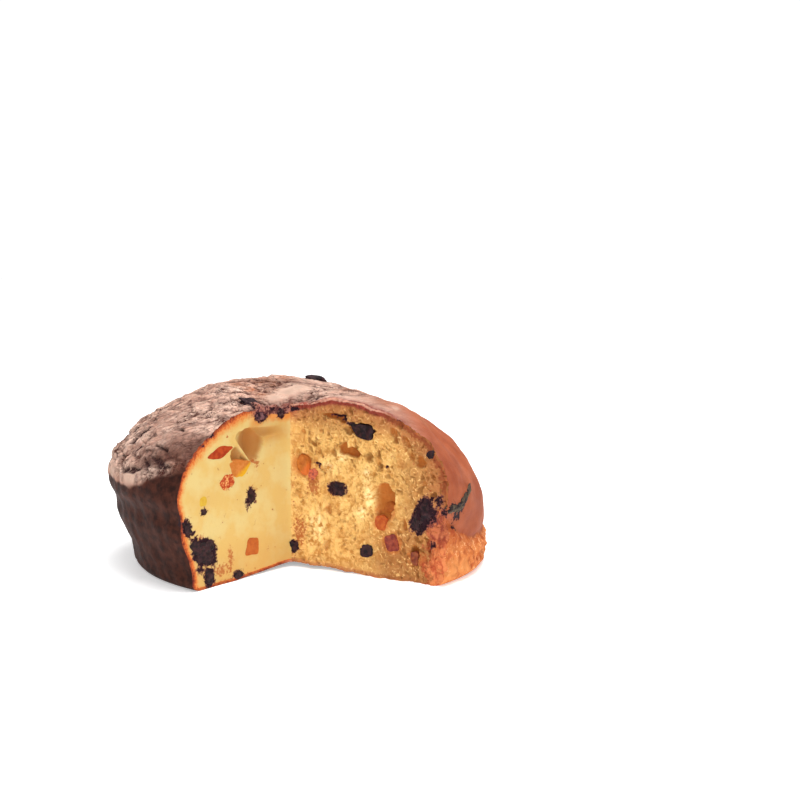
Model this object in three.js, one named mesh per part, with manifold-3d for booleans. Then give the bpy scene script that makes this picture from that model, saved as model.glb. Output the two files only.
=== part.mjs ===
// A pear and chocolate panettone of the low, broad kind, with one wide wedge cut and pulled out of its front.
// Lengths are millimetres and +Z is up. The loaf stands on z = 0 and its opening faces -Y.
// Every shape is worked out about the loaf's own upright axis, and one group then centres the whole.
import * as THREE from "three";
import { mergeVertices } from "three/addons/utils/BufferGeometryUtils.js";
import Module from "manifold-3d";

const wasm = await Module();
wasm.setup();

// Driving sizes of the loaf. Each station gives, at one azimuth counted from +X towards +Y, the radius and
// height of the widest line (the rim), the radius of the foot, and how full the dome is: 2 is an ellipse,
// and more is squarer.
const STATION_STEP = 45;
const STATIONS = [
  { rimRadius: 102.6, rimHeight: 26, footRadius: 103.0, fullness: 1.95 },
  { rimRadius: 97.0, rimHeight: 34, footRadius: 96.0, fullness: 1.9 },
  { rimRadius: 94.0, rimHeight: 40, footRadius: 90.0, fullness: 1.95 },
  { rimRadius: 96.0, rimHeight: 44, footRadius: 87.0, fullness: 1.95 },
  { rimRadius: 101.6, rimHeight: 47, footRadius: 87.0, fullness: 1.95 },
  { rimRadius: 98.8, rimHeight: 49, footRadius: 87.0, fullness: 2.0 },
  { rimRadius: 99.0, rimHeight: 48, footRadius: 93.0, fullness: 2.35 },
  { rimRadius: 103.0, rimHeight: 45, footRadius: 100.5, fullness: 2.6 },
];
const DOME_HEIGHT = 97.5;
// Broad swells and dips of the dome: place x, y, height of the swell, and its spread.
const DOME_SWELLS = [
  [-42, 12, 2.8, 24],
  [40, 14, -3.5, 22],
  [-6, -24, -8.5, 15],
  [34, -36, -1.5, 14],
];
const BELLY_CENTRE = new THREE.Vector3(0, 0, 25);
const SOLE_HOLLOW = { depth: 4.5, radius: 60, power: 1.3 };
const FOOT_ROUNDING = 4;

// The cut: its inner upright line, and the two faces that leave it, each turned from straight forward (-Y).
const CUT_LINE = { x: -2.7, y: -18.9 };
const KNIFE_FACE_TURN = THREE.MathUtils.degToRad(44.6);
const TORN_FACE_TURN = THREE.MathUtils.degToRad(59.1);
const CUT_CORNER = 4;
const CUT_REACH = 132;
const CUT_BOTTOM = -7;
const CUT_TOP = 106;

// Numbers of steps in the meshes.
const AROUND = 80;
const DOME_STEPS = 14;
const SIDE_STEPS = 8;
const SOLE_STEPS = 2;
const CUT_STEP = 6.2;

// The free space between a piece and the crumb that holds it.
const POCKET_GAP = 0.35;

// The middle of the loaf's box, which the last group moves to x = 0, y = 0.
const BOX_MIDDLE = { x: 0.7, y: 8.4 };

const CRUMB = { colour: 0xe8bb6a, roughness: 0.9 };
const CHOCOLATE = { colour: 0x2c1a16, roughness: 0.45 };
const CANDIED = { colour: 0xd8762e, roughness: 0.35 };
const LEMON = { colour: 0xe8bd3f, roughness: 0.35 };

// A smooth irregular wave between about -1 and 1, the mean of four crossed sines.
function ripple(a, b, c) {
  return (
    (Math.sin(1.7 * a + 0.9 * b + 2.1 * c + 0.3) +
      Math.sin(-1.1 * a + 2.3 * b - 0.7 * c + 1.9) +
      Math.sin(0.6 * a - 1.3 * b + 2.9 * c + 4.1) +
      Math.sin(2.8 * a + 0.4 * b - 1.5 * c + 5.2)) /
    4
  );
}

// 0 below low, 1 above high, and a smooth rise between them.
function rise(value, low, high) {
  return THREE.MathUtils.smoothstep(value, low, high);
}

// A bell of height 1 round the middle.
function bell(value, middle, width) {
  return Math.exp(-(((value - middle) / width) ** 2));
}

// A size of the stations at any azimuth, by a Catmull-Rom curve through the closed ring of stations.
function stationSize(azimuth, size) {
  const steps = THREE.MathUtils.euclideanModulo(
    THREE.MathUtils.radToDeg(azimuth) / STATION_STEP,
    STATIONS.length,
  );
  const index = Math.floor(steps);
  const t = steps - index;
  const at = (k) => STATIONS[(index + k + STATIONS.length) % STATIONS.length][size];
  const [a, b, c, d] = [at(-1), at(0), at(1), at(2)];
  return b + 0.5 * t * (c - a + t * (2 * a - 5 * b + 4 * c - d + t * (3 * (b - c) + d - a)));
}

// The dome at an angle down from its top: a superellipse from the crown to the rim, with the swells added.
function domePoint(azimuth, angle) {
  const rimHeight = stationSize(azimuth, "rimHeight");
  const power = 2 / stationSize(azimuth, "fullness");
  const radius = stationSize(azimuth, "rimRadius") * Math.sin(angle) ** power;
  const x = radius * Math.cos(azimuth);
  const y = radius * Math.sin(azimuth);
  const lift = Math.max(Math.cos(angle), 0);
  let z = rimHeight + (DOME_HEIGHT - rimHeight) * lift ** power;
  for (const [sx, sy, height, spread] of DOME_SWELLS)
    z += height * Math.exp(-((x - sx) ** 2 + (y - sy) ** 2) / (2 * spread ** 2)) * lift;
  return new THREE.Vector3(x, y, z);
}

// The side at a share of the way from the rim down to the foot, with the groove under the overhanging dome.
function sidePoint(azimuth, share) {
  const rim = stationSize(azimuth, "rimRadius");
  const foot = stationSize(azimuth, "footRadius");
  const leftward = 0.5 - 0.5 * Math.cos(azimuth);
  const groove = (0.6 + 2.6 * leftward ** 2) * bell(share, 0.2, 0.13) * (1 - bell(share, 0, 0.06));
  const height = stationSize(azimuth, "rimHeight") * (1 - share);
  const rounding = Math.max(0, 1 - height / FOOT_ROUNDING);
  const radius =
    rim + (foot - rim) * rise(share, 0, 1) - groove - FOOT_ROUNDING * (1 - Math.sqrt(1 - rounding ** 2));
  return new THREE.Vector3(radius * Math.cos(azimuth), radius * Math.sin(azimuth), height);
}

// How high the crumbly foot on the right reaches, which was torn from its paper: highest beside the cut.
function tornFootHeight(azimuth) {
  const cutSide = TORN_FACE_TURN - Math.PI / 2 - THREE.MathUtils.degToRad(13);
  const away = THREE.MathUtils.euclideanModulo(azimuth - cutSide + Math.PI, 2 * Math.PI) - Math.PI;
  return 19.5 + 18 * bell(away, 0, 0.2);
}

// How far the crust stands in or out: slow swells, short folds, pleats that run up the left of the dome,
// and the crumbly foot on the right.
function crustRelief(point, azimuth) {
  const { x, y, z } = point;
  const slow = 0.8 * ripple(x / 15, y / 15, z / 15);
  const short = 0.55 * ripple(x / 6.2, y / 6.2, z / 6.2);
  const onLeft = rise(-x, 10, 70) * rise(z, 42, 60);
  const pleats = 0.75 * onLeft * Math.sin(23 * azimuth + 2.4 * ripple(x / 18, y / 18, z / 11));
  const tornTop = tornFootHeight(azimuth);
  const onRight = rise(x, 35, 75);
  const belowTear = 1 - rise(z, tornTop - 5, tornTop);
  const crumbs = 1.7 * onRight * belowTear * Math.abs(ripple(x / 3.1, y / 3.1, z / 3.4));
  const tornEdge = -1.1 * onRight * bell(z, tornTop, 2.2);
  return slow + short + pleats + crumbs + tornEdge;
}

// A point of the crust with its relief, pushed along the line from the middle of the belly.
function withRelief(point, azimuth) {
  const away = point.clone().sub(BELLY_CENTRE).normalize();
  const depth = crustRelief(point, azimuth) * rise(point.z, 0.5, 5);
  const moved = point.clone().addScaledVector(away, depth);
  moved.z = Math.max(moved.z, 0);
  return moved;
}

// The underside: flat on its outer ring, and hollowed like a shallow cone towards the middle.
function solePoint(azimuth, share) {
  const radius = (stationSize(azimuth, "footRadius") - FOOT_ROUNDING) * (1 - share);
  const inward = Math.max(0, 1 - radius / SOLE_HOLLOW.radius);
  return new THREE.Vector3(
    radius * Math.cos(azimuth),
    radius * Math.sin(azimuth),
    SOLE_HOLLOW.depth * inward ** SOLE_HOLLOW.power,
  );
}

// A closed solid from rings of equal length, one above the other, each turning from +X towards +Y, with a fan
// of triangles at each end.
function solidOfRings(rings, bottomCentre, topCentre) {
  const count = rings[0].length;
  const corners = rings.flat();
  const bottom = corners.length;
  const top = bottom + 1;
  corners.push(bottomCentre, topCentre);
  const faces = [];
  for (let ring = 0; ring + 1 < rings.length; ring++)
    for (let k = 0; k < count; k++) {
      const here = ring * count + k;
      const next = ring * count + ((k + 1) % count);
      faces.push(here, next, here + count, next, next + count, here + count);
    }
  const lastRing = (rings.length - 1) * count;
  for (let k = 0; k < count; k++) {
    const next = (k + 1) % count;
    faces.push(bottom, next, k, top, lastRing + k, lastRing + next);
  }
  return new wasm.Manifold(
    new wasm.Mesh({
      numProp: 3,
      vertProperties: new Float32Array(corners.flatMap((p) => [p.x, p.y, p.z])),
      triVerts: new Uint32Array(faces),
    }),
  );
}

// The whole loaf before it is cut, built from its underside up to its crown.
function wholeLoaf() {
  const ringAt = (pointAt) =>
    Array.from({ length: AROUND }, (_, k) => pointAt((2 * Math.PI * k) / AROUND));
  const rings = [];
  for (let k = SOLE_STEPS; k > 0; k--)
    rings.push(ringAt((azimuth) => solePoint(azimuth, k / (SOLE_STEPS + 1))));
  for (let k = SIDE_STEPS; k > 0; k--) {
    const share = (k / SIDE_STEPS) ** 0.85;
    rings.push(ringAt((azimuth) => withRelief(sidePoint(azimuth, share), azimuth)));
  }
  for (let k = DOME_STEPS; k > 0; k--) {
    const angle = (Math.PI / 2) * (k / DOME_STEPS);
    rings.push(ringAt((azimuth) => withRelief(domePoint(azimuth, angle), azimuth)));
  }
  return solidOfRings(
    rings,
    new THREE.Vector3(0, 0, SOLE_HOLLOW.depth),
    withRelief(domePoint(0, 0), 0),
  );
}

// Where the cut's sheet passes, seen from above, at a length along it: negative on the smooth knife face to
// the left, positive on the torn face to the right, and rounded where the two meet. Also its way along the
// face and its way into the loaf.
function cutPlace(length) {
  const ramp = (t) => (t + Math.hypot(t, CUT_CORNER)) / 2;
  const slope = (t) => (1 + t / Math.hypot(t, CUT_CORNER)) / 2;
  const knife = new THREE.Vector2(-Math.sin(KNIFE_FACE_TURN), -Math.cos(KNIFE_FACE_TURN));
  const torn = new THREE.Vector2(Math.sin(TORN_FACE_TURN), -Math.cos(TORN_FACE_TURN));
  const place = new THREE.Vector2(CUT_LINE.x, CUT_LINE.y)
    .addScaledVector(knife, ramp(-length))
    .addScaledVector(torn, ramp(length));
  const along = new THREE.Vector2()
    .addScaledVector(knife, -slope(-length))
    .addScaledVector(torn, slope(length))
    .normalize();
  return { place, along, inward: new THREE.Vector2(-along.y, along.x) };
}

// How far the cut's sheet goes into the loaf: nearly flat where the knife went, and rough where it was torn.
function cutRelief(length, height) {
  const torn = rise(length, -2, 10);
  const knifeWave = 0.35 * ripple(length / 9, height / 9, 0);
  const tornWave =
    1.1 * ripple(length / 4.4, height / 4.9, 2) + 0.9 * ripple(length / 13, height / 11, 5);
  return (knifeWave * (1 - torn) + tornWave * torn) * rise(height, CUT_BOTTOM, 2);
}

// The wedge that is missing: the cut's sheet, closed far in front of the loaf.
function missingWedge() {
  const columns = 2 * Math.round(CUT_REACH / CUT_STEP);
  const levels = Math.round((CUT_TOP - CUT_BOTTOM) / CUT_STEP);
  const front = -2 * CUT_REACH;
  const rings = [];
  for (let level = 0; level <= levels; level++) {
    const z = CUT_BOTTOM + ((CUT_TOP - CUT_BOTTOM) * level) / levels;
    const ring = [];
    for (let column = columns; column >= 0; column--) {
      const length = CUT_REACH * ((2 * column) / columns - 1);
      const { place, inward } = cutPlace(length);
      const spot = place.clone().addScaledVector(inward, cutRelief(length, z));
      ring.push(new THREE.Vector3(spot.x, spot.y, z));
    }
    ring.push(new THREE.Vector3(-CUT_REACH, front, z), new THREE.Vector3(CUT_REACH, front, z));
    rings.push(ring);
  }
  const endCentre = (z) => new THREE.Vector3(0, -CUT_REACH, z);
  return solidOfRings(rings, endCentre(CUT_BOTTOM), endCentre(CUT_TOP));
}

// An irregular lump round the origin. squareness 2 is a ball and 5 is nearly a cube, and rough pushes its
// surface in and out by that share, in a way that the seed turns. lean slides its top along by that share of
// its height, and taper widens its top and narrows its bottom by that share.
function lump(
  { size, squareness = 2.3, rough = 0.14, seed = 0, detail = 1, lean = 0, taper = 0 },
  extra = 0,
) {
  const ball = new THREE.IcosahedronGeometry(1, detail);
  ball.deleteAttribute("normal");
  ball.deleteAttribute("uv");
  const geometry = mergeVertices(ball);
  const spots = geometry.attributes.position;
  const p = new THREE.Vector3();
  for (let k = 0; k < spots.count; k++) {
    p.fromBufferAttribute(spots, k);
    const norm =
      (Math.abs(p.x) ** squareness + Math.abs(p.y) ** squareness + Math.abs(p.z) ** squareness) **
      (1 / squareness);
    const push = (1 + rough * ripple(2.1 * p.x + seed, 2.1 * p.y - seed, 2.1 * p.z + 2 * seed)) / norm;
    const up = p.y * push * (size[1] / 2 + extra);
    const across = p.x * push * (size[0] / 2 + extra) * (1 + taper * p.y * push);
    spots.setXYZ(k, across + lean * up, up, p.z * push * (size[2] / 2 + extra));
  }
  return geometry;
}

// A geometry with merged corners as a solid.
function toSolid(geometry) {
  return new wasm.Manifold(
    new wasm.Mesh({
      numProp: 3,
      vertProperties: new Float32Array(geometry.attributes.position.array),
      triVerts: new Uint32Array(geometry.index.array),
    }),
  );
}

// A solid as a mesh's geometry.
function toGeometry(solid) {
  const { vertProperties, triVerts } = solid.getMesh();
  const geometry = new THREE.BufferGeometry();
  geometry.setAttribute("position", new THREE.BufferAttribute(new Float32Array(vertProperties), 3));
  geometry.setIndex(new THREE.BufferAttribute(new Uint32Array(triVerts), 1));
  geometry.computeVertexNormals();
  return geometry;
}

// The way of a lump that sits in a cut face: its first size lies along the face, its second stands up, and
// its third goes into the loaf, its middle sunk below the face.
function onCutFace({ along, height, sunk = 0, turn = 0 }) {
  const { place, along: faceWay, inward } = cutPlace(along);
  const basis = new THREE.Matrix4().makeBasis(
    new THREE.Vector3(faceWay.x, faceWay.y, 0),
    new THREE.Vector3(0, 0, 1),
    new THREE.Vector3(-inward.x, -inward.y, 0),
  );
  const spot = place.clone().addScaledVector(inward, sunk);
  return new THREE.Matrix4()
    .makeTranslation(spot.x, spot.y, height)
    .multiply(basis)
    .multiply(new THREE.Matrix4().makeRotationZ(THREE.MathUtils.degToRad(turn)));
}

// The way of a lump that sits in the crust of the dome or the side: its third size stands out of the crust.
function onCrust({ azimuth, angle, share, sunk = 0, turn = 0 }) {
  const around = THREE.MathUtils.degToRad(azimuth);
  const pointAt = (a, step) =>
    share === undefined
      ? domePoint(a, THREE.MathUtils.degToRad(angle + step))
      : sidePoint(a, share + step / 40);
  const spot = pointAt(around, 0);
  const sideways = pointAt(around + 0.01, 0).sub(pointAt(around - 0.01, 0)).normalize();
  const upward = pointAt(around, -0.5).sub(pointAt(around, 0.5));
  const outward = new THREE.Vector3().crossVectors(sideways, upward).normalize();
  upward.crossVectors(outward, sideways);
  const basis = new THREE.Matrix4().makeBasis(sideways, upward, outward);
  const relief = crustRelief(spot, around);
  spot.addScaledVector(outward, relief - sunk);
  return new THREE.Matrix4()
    .makeTranslation(spot.x, spot.y, spot.z)
    .multiply(basis)
    .multiply(new THREE.Matrix4().makeRotationZ(THREE.MathUtils.degToRad(turn)));
}

// The open air holes of the crumb: where each lies on the cut, and its width, height and depth.
const AIR_HOLES = [
  { along: -30.8, height: 72.6, size: [19, 19.5, 16], sunk: 0, seed: 1 },
  { along: -39.2, height: 67, size: [8.4, 8, 7], sunk: 0, seed: 2 },
  { along: 8, height: 57.2, size: [10.4, 14.5, 7], sunk: 0, seed: 3 },
  { along: 57.4, height: 42.4, size: [10.6, 17, 14], sunk: 0.5, seed: 4, turn: 4 },
  { along: 35.6, height: 67.2, size: [13.6, 5.6, 9], sunk: 0.5, seed: 5, turn: -16 },
  { along: 30, height: 84.2, size: [13, 4.4, 9], sunk: 0.5, seed: 6, turn: -8 },
  { along: 45, height: 78.4, size: [16, 8.4, 8], sunk: 0.5, seed: 7, turn: -4 },
  { along: 78.7, height: 64.8, size: [6.5, 6.5, 6], sunk: 0, seed: 8 },
  { along: 74.8, height: 15.5, size: [5.4, 9, 7], sunk: 0, seed: 9 },
  { along: 70, height: 74.5, size: [4, 8, 5], sunk: 0, seed: 10, turn: 32 },
  { along: 62.5, height: 79, size: [4, 6, 5], sunk: 0, seed: 11, turn: 24 },
  { along: 24, height: 34, size: [4, 6.4, 4], sunk: 0, seed: 12, turn: 12 },
];

// The small pores of the torn face, drawn by a seeded rule within these limits.
const PORES = {
  count: 10,
  along: [9, 88],
  height: [8, 82],
  width: [2.6, 5.2],
  seed: 7,
};

// Chocolate and candied fruit that shows in the cut faces: where each lies on the cut, its size along the
// face, up it and into it, its turn in the face, and how far its middle is sunk. A trimmed piece ends flush
// with the knife's face.
const CUT_PIECES = [
  { name: "fruit_long_strip", of: CANDIED, along: -51, height: 70.4, size: [11.5, 6.8, 9], turn: -8,
    sunk: 1, squareness: 5, rough: 0.08, lean: 1.35, trimmed: true, seed: 4 },
  { name: "fruit_in_hollow", of: LEMON, along: -37.5, height: 59.6, size: [13.4, 9, 8], turn: -4, sunk: 1.6,
    squareness: 3.6, taper: 0.35, trimmed: true, seed: 9 },
  { name: "fruit_crumbled", of: CANDIED, along: -46.5, height: 53.8, size: [10, 8, 7], sunk: 1, rough: 0.3,
    trimmed: true, seed: 2 },
  { name: "fruit_yellow", of: LEMON, along: -63.4, height: 46.6, size: [5.4, 5.4, 5], sunk: 0.8,
    squareness: 3, trimmed: true, seed: 6 },
  { name: "fruit_cube", of: CANDIED, along: -28.9, height: 16.2, size: [9.2, 9.8, 9], turn: -6, sunk: 1.2,
    squareness: 5, rough: 0.08, taper: -0.12, trimmed: true, seed: 1 },
  { name: "chocolate_heart", of: CHOCOLATE, along: -29.4, height: 43.6, size: [6.2, 9.2, 6], turn: 12,
    sunk: 0.8, rough: 0.34, trimmed: true, seed: 3 },
  { name: "chocolate_fleck", of: CHOCOLATE, along: -63.2, height: 41.2, size: [4.2, 3.4, 4], sunk: 0.4,
    rough: 0.3, trimmed: true, seed: 5 },
  { name: "chocolate_left_corner", of: CHOCOLATE, along: -63.2, height: 19.8, size: [17, 14, 11], turn: -28,
    sunk: 1.2, rough: 0.26, seed: 7 },
  { name: "chocolate_left_rim", of: CHOCOLATE, along: -74.8, height: 34.4, size: [5.6, 9.6, 7], turn: 24,
    sunk: 1.4, rough: 0.26, seed: 30 },
  { name: "chocolate_left_foot", of: CHOCOLATE, along: -60.4, height: 5.8, size: [7.4, 10.6, 8], turn: 8,
    sunk: 1.2, rough: 0.24, seed: 35 },
  { name: "chocolate_at_foot", of: CHOCOLATE, along: -39.4, height: 3, size: [7.4, 4.4, 5], sunk: 0.8,
    rough: 0.25, seed: 8 },
  { name: "chocolate_at_crest", of: CHOCOLATE, along: -22.2, height: 85.2, size: [8.8, 5.8, 7], turn: -20,
    sunk: 0.8, rough: 0.3, seed: 23 },
  { name: "chocolate_at_corner_top", of: CHOCOLATE, along: -7.6, height: 85, size: [5.6, 7.4, 6], turn: -14,
    sunk: 1, rough: 0.26, seed: 28 },
  { name: "chocolate_in_corner", of: CHOCOLATE, along: 2.2, height: 11.2, size: [6.4, 6.8, 6], sunk: 0.8,
    rough: 0.28, seed: 10 },
  { name: "chocolate_middle", of: CHOCOLATE, along: 28.8, height: 45.6, size: [10.5, 7.6, 7], sunk: 1.2,
    rough: 0.34, seed: 11 },
  { name: "chocolate_under_crust", of: CHOCOLATE, along: 45, height: 77.9, size: [12.8, 7, 8], turn: -4,
    sunk: 2, squareness: 4, rough: 0.1, taper: 0.3, seed: 12 },
  { name: "chocolate_low", of: CHOCOLATE, along: 46.2, height: 13.8, size: [7.4, 7, 6], turn: 20, sunk: 0.8,
    squareness: 2.8, seed: 13 },
  { name: "chocolate_melted_right", of: CHOCOLATE, along: 79.6, height: 36, size: [12.5, 22, 9], turn: -22,
    sunk: 1.6, rough: 0.3, seed: 14, detail: 2 },
  { name: "chocolate_at_rim", of: CHOCOLATE, along: 85.3, height: 70.2, size: [5.6, 5, 5], turn: 30, sunk: 1,
    seed: 15 },
  { name: "fruit_oval", of: CANDIED, along: 8, height: 56.6, size: [8.4, 11.6, 8], turn: 6, sunk: 3,
    seed: 16 },
  { name: "fruit_red", of: CANDIED, along: 13.8, height: 52, size: [4.8, 6.8, 5], turn: -20, sunk: 0.8,
    rough: 0.25, seed: 17 },
  { name: "fruit_below_hole", of: CANDIED, along: 57.4, height: 38.4, size: [9.6, 8.6, 8], sunk: 5,
    squareness: 2.8, seed: 18 },
  { name: "fruit_small_orange", of: CANDIED, along: 55.4, height: 29.8, size: [8.2, 7.8, 7], turn: -8,
    sunk: 1, squareness: 2.8, seed: 29 },
  { name: "fruit_jelly", of: CANDIED, along: 61.6, height: 19.8, size: [8.4, 10, 8], turn: 10, sunk: 1.8,
    squareness: 2.6, seed: 19 },
  { name: "fruit_brown", of: CANDIED, along: 74.8, height: 13.4, size: [4.8, 7, 6], sunk: 2.4, seed: 20 },
];

// Chocolate that shows in the crust. angle counts down from the crown, and share down the side from the rim.
const CRUST_PIECES = [
  { name: "chocolate_crown_chip", of: CHOCOLATE, azimuth: 66, angle: 18.5, size: [12, 6.4, 5], turn: 22,
    sunk: -0.4, squareness: 3, seed: 21 },
  { name: "chocolate_crest_front", of: CHOCOLATE, azimuth: -132, angle: 20.6, size: [11, 5.6, 4], turn: 8,
    sunk: 0.9, rough: 0.36, seed: 22 },
  { name: "chocolate_back_chip", of: CHOCOLATE, azimuth: 118, angle: 38, size: [8, 6.4, 5], turn: 40,
    sunk: 0.5, squareness: 2.8, seed: 24 },
  { name: "chocolate_back_chip_low", of: CHOCOLATE, azimuth: 62, angle: 58, size: [7, 6, 5], turn: -25,
    sunk: 0.5, squareness: 2.8, seed: 25 },
  { name: "chocolate_left_back", of: CHOCOLATE, azimuth: 146, angle: 56, size: [10, 5, 4.6], turn: -30,
    sunk: 0.6, rough: 0.24, seed: 26 },
  { name: "chocolate_right_back", of: CHOCOLATE, azimuth: 40, angle: 60, size: [6.4, 6, 5], turn: 10,
    sunk: 0.5, squareness: 2.8, seed: 27 },
];

// The run of melted chocolate that climbs the right of the crust, as joined beads along its way.
const STREAK = {
  name: "chocolate_streak",
  beads: [
    { azimuth: -38.2, share: 0.04, size: [10.5, 4.6, 3.6], seed: 31 },
    { azimuth: -34.2, share: 0.01, size: [8.5, 5.6, 3.6], seed: 32 },
    { azimuth: -31.2, angle: 87.5, size: [7, 6.8, 3.4], turn: -36, seed: 33 },
    { azimuth: -28.4, angle: 84.2, size: [4.2, 9, 3.2], turn: -36, seed: 34 },
  ],
  sunk: 0.5,
};

// Small flecks of chocolate, fused to the crust: azimuth, angle down from the crown, and width.
const FLECKS = [
  [168.5, 31.5, 3],
  [157, 27.5, 3.4],
  [-162.5, 35.5, 2.8],
  [-171.5, 57.5, 3.4],
  [-155, 57, 3.2],
  [-151, 48, 2.8],
  [104, 55, 3.4],
  [82, 33, 3],
  [44, 66, 3],
  [12, 52, 2.8],
];

// A repeatable stream of numbers from 0 to 1, by the mulberry32 rule.
function seededDraws(seed) {
  let state = seed;
  return () => {
    state = (state + 0x6d2b79f5) | 0;
    let t = Math.imul(state ^ (state >>> 15), 1 | state);
    t = (t + Math.imul(t ^ (t >>> 7), 61 | t)) ^ t;
    return ((t ^ (t >>> 14)) >>> 0) / 4294967296;
  };
}

// The pores of the torn face, kept clear of the holes and the pieces.
function poreHoles() {
  const draw = seededDraws(PORES.seed);
  const between = ([low, high]) => low + (high - low) * draw();
  const taken = [...AIR_HOLES, ...CUT_PIECES];
  const pores = [];
  while (pores.length < PORES.count) {
    const pore = { along: between(PORES.along), height: between(PORES.height), sunk: 0, turn: 180 * draw() };
    const width = between(PORES.width);
    pore.size = [width, width * (0.7 + 0.8 * draw()), width];
    pore.seed = 40 + pores.length;
    const outline = 76 * Math.sqrt(Math.max(0, 1 - (pore.along / 96) ** 4));
    const clear = taken.every(
      (other) =>
        Math.hypot(other.along - pore.along, other.height - pore.height) >
        (Math.max(...other.size) + width) / 2 + 0.8,
    );
    if (clear && pore.height < outline + 4) {
      taken.push(pore);
      pores.push(pore);
    }
  }
  return pores;
}

// A lump as a solid in its place.
function placed(piece, way, extra = 0) {
  return toSolid(lump(piece, extra).applyMatrix4(way));
}

// The biggest body of a solid, so that no loose scrap is kept.
function mainBody(solid) {
  return solid.decompose().reduce((a, b) => (b.volume() > a.volume() ? b : a));
}

function meshOf(name, solid, finish) {
  const material = new THREE.MeshStandardMaterial({
    color: finish.colour,
    roughness: finish.roughness,
    metalness: 0,
  });
  const mesh = new THREE.Mesh(toGeometry(solid), material);
  mesh.name = name;
  return mesh;
}

// The loaf with its wedge missing, its air holes open and its flecks fused on.
function cutLoaf() {
  let loaf = wholeLoaf();
  for (const [azimuth, angle, width] of FLECKS) {
    const fleck = { size: [width, width * 0.8, width * 0.7], rough: 0.1, seed: azimuth, detail: 0 };
    loaf = loaf.add(placed(fleck, onCrust({ azimuth, angle, sunk: width * 0.1 })));
  }
  return loaf.subtract(missingWedge());
}

function panettone() {
  const solidLoaf = cutLoaf();
  const holes = [...AIR_HOLES, ...poreHoles()].map((hole) =>
    placed({ rough: 0.12, detail: hole.seed < 40 ? 1 : 0, ...hole }, onCutFace(hole)),
  );

  const group = new THREE.Group();
  const pockets = [];
  const add = (name, of, solid, pocket) => {
    group.add(meshOf(name, mainBody(solid.subtract(wasm.Manifold.union(pockets))), of));
    pockets.push(pocket);
  };
  for (const piece of CUT_PIECES) {
    const way = onCutFace(piece);
    const solid = placed(piece, way);
    const shown = piece.trimmed ? solid.intersect(solidLoaf) : solid;
    add(piece.name, piece.of, shown, placed(piece, way, POCKET_GAP));
  }
  for (const piece of CRUST_PIECES) {
    const way = onCrust(piece);
    add(piece.name, piece.of, placed(piece, way), placed(piece, way, POCKET_GAP));
  }
  const beads = (extra) =>
    wasm.Manifold.union(
      STREAK.beads.map((bead) => placed(bead, onCrust({ sunk: STREAK.sunk, ...bead }), extra)),
    );
  add(STREAK.name, CHOCOLATE, beads(0), beads(POCKET_GAP));

  const hollows = wasm.Manifold.union([...holes, ...pockets]);
  group.add(meshOf("loaf", mainBody(solidLoaf.subtract(hollows)), CRUMB));
  group.position.set(-BOX_MIDDLE.x, -BOX_MIDDLE.y, 0);
  return group;
}

const part = new THREE.Group();
part.add(panettone());

export default part;
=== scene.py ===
"""A low pear and chocolate panettone with a wedge cut out of its front.

The loaf's outer form, its two cut faces and its lumps of chocolate and fruit are worked out in millimetres
about the loaf's own upright axis, with the cut opening towards -Y. They become metres about the part's origin
only when a mesh is made. The left cut face was made by a knife and the right one was torn.
"""

import logging
import math
from dataclasses import dataclass, field
from enum import Enum

import bpy
import numpy as np
from mathutils import Matrix, Vector

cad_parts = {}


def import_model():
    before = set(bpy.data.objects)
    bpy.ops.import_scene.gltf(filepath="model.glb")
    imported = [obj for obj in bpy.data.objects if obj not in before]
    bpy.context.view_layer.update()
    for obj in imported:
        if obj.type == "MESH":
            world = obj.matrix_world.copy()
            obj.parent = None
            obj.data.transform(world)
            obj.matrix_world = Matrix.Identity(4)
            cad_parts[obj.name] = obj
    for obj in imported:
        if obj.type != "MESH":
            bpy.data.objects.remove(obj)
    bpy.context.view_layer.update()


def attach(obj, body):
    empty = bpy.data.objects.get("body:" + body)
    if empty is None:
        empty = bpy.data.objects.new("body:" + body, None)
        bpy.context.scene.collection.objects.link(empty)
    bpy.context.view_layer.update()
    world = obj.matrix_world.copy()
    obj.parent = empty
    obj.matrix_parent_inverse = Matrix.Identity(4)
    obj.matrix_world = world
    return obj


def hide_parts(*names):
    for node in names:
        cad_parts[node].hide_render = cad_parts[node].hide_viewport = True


Array = np.ndarray
Colour = tuple[float, float, float]
Size = tuple[float, float, float]
# A fade is 0 at its first value and 1 at its second.
Fade = tuple[float, float]
# Spots of the loaf are x, y, z and reach. Those of a cut face are length, height, reach along and reach up.
Spots = tuple[tuple[float, float, float, float], ...]
# A ramp's places and the colours there.
Stops = list[tuple[float, Colour]]

BODY = "root"
METRES = 0.001
# The middle of the whole part's box, counted from the loaf's axis.
BOX_MIDDLE = (0.7, 8.4)
BELLY_CENTRE = np.array([0.0, 0.0, 25.0])

log = logging.getLogger("panettone")


class Skin(Enum):
    """The kinds of surface on a piece of the loaf, in the order of its material slots."""

    OUTER = 0
    HIDDEN = 1
    CUT = 2


def tint(red: int, green: int, blue: int) -> Colour:
    """Turns a colour from 0 to 255, as a screen shows it, into linear light."""
    values = np.array([red, green, blue]) / 255
    linear = np.where(values <= 0.04045, values / 12.92, ((values + 0.055) / 1.055) ** 2.4)
    return tuple(float(v) for v in linear)


def rise(value: Array, low: float, high: float) -> Array:
    """0 below low, 1 above high, and 3t² - 2t³ between them."""
    t = np.clip((value - low) / (high - low), 0, 1)
    return t * t * (3 - 2 * t)


def bell(value: Array, middle: float, width: float) -> Array:
    """A bell of height 1 round the middle: e to the minus square of the distance in widths."""
    return np.exp(-(((value - middle) / width) ** 2))


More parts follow.
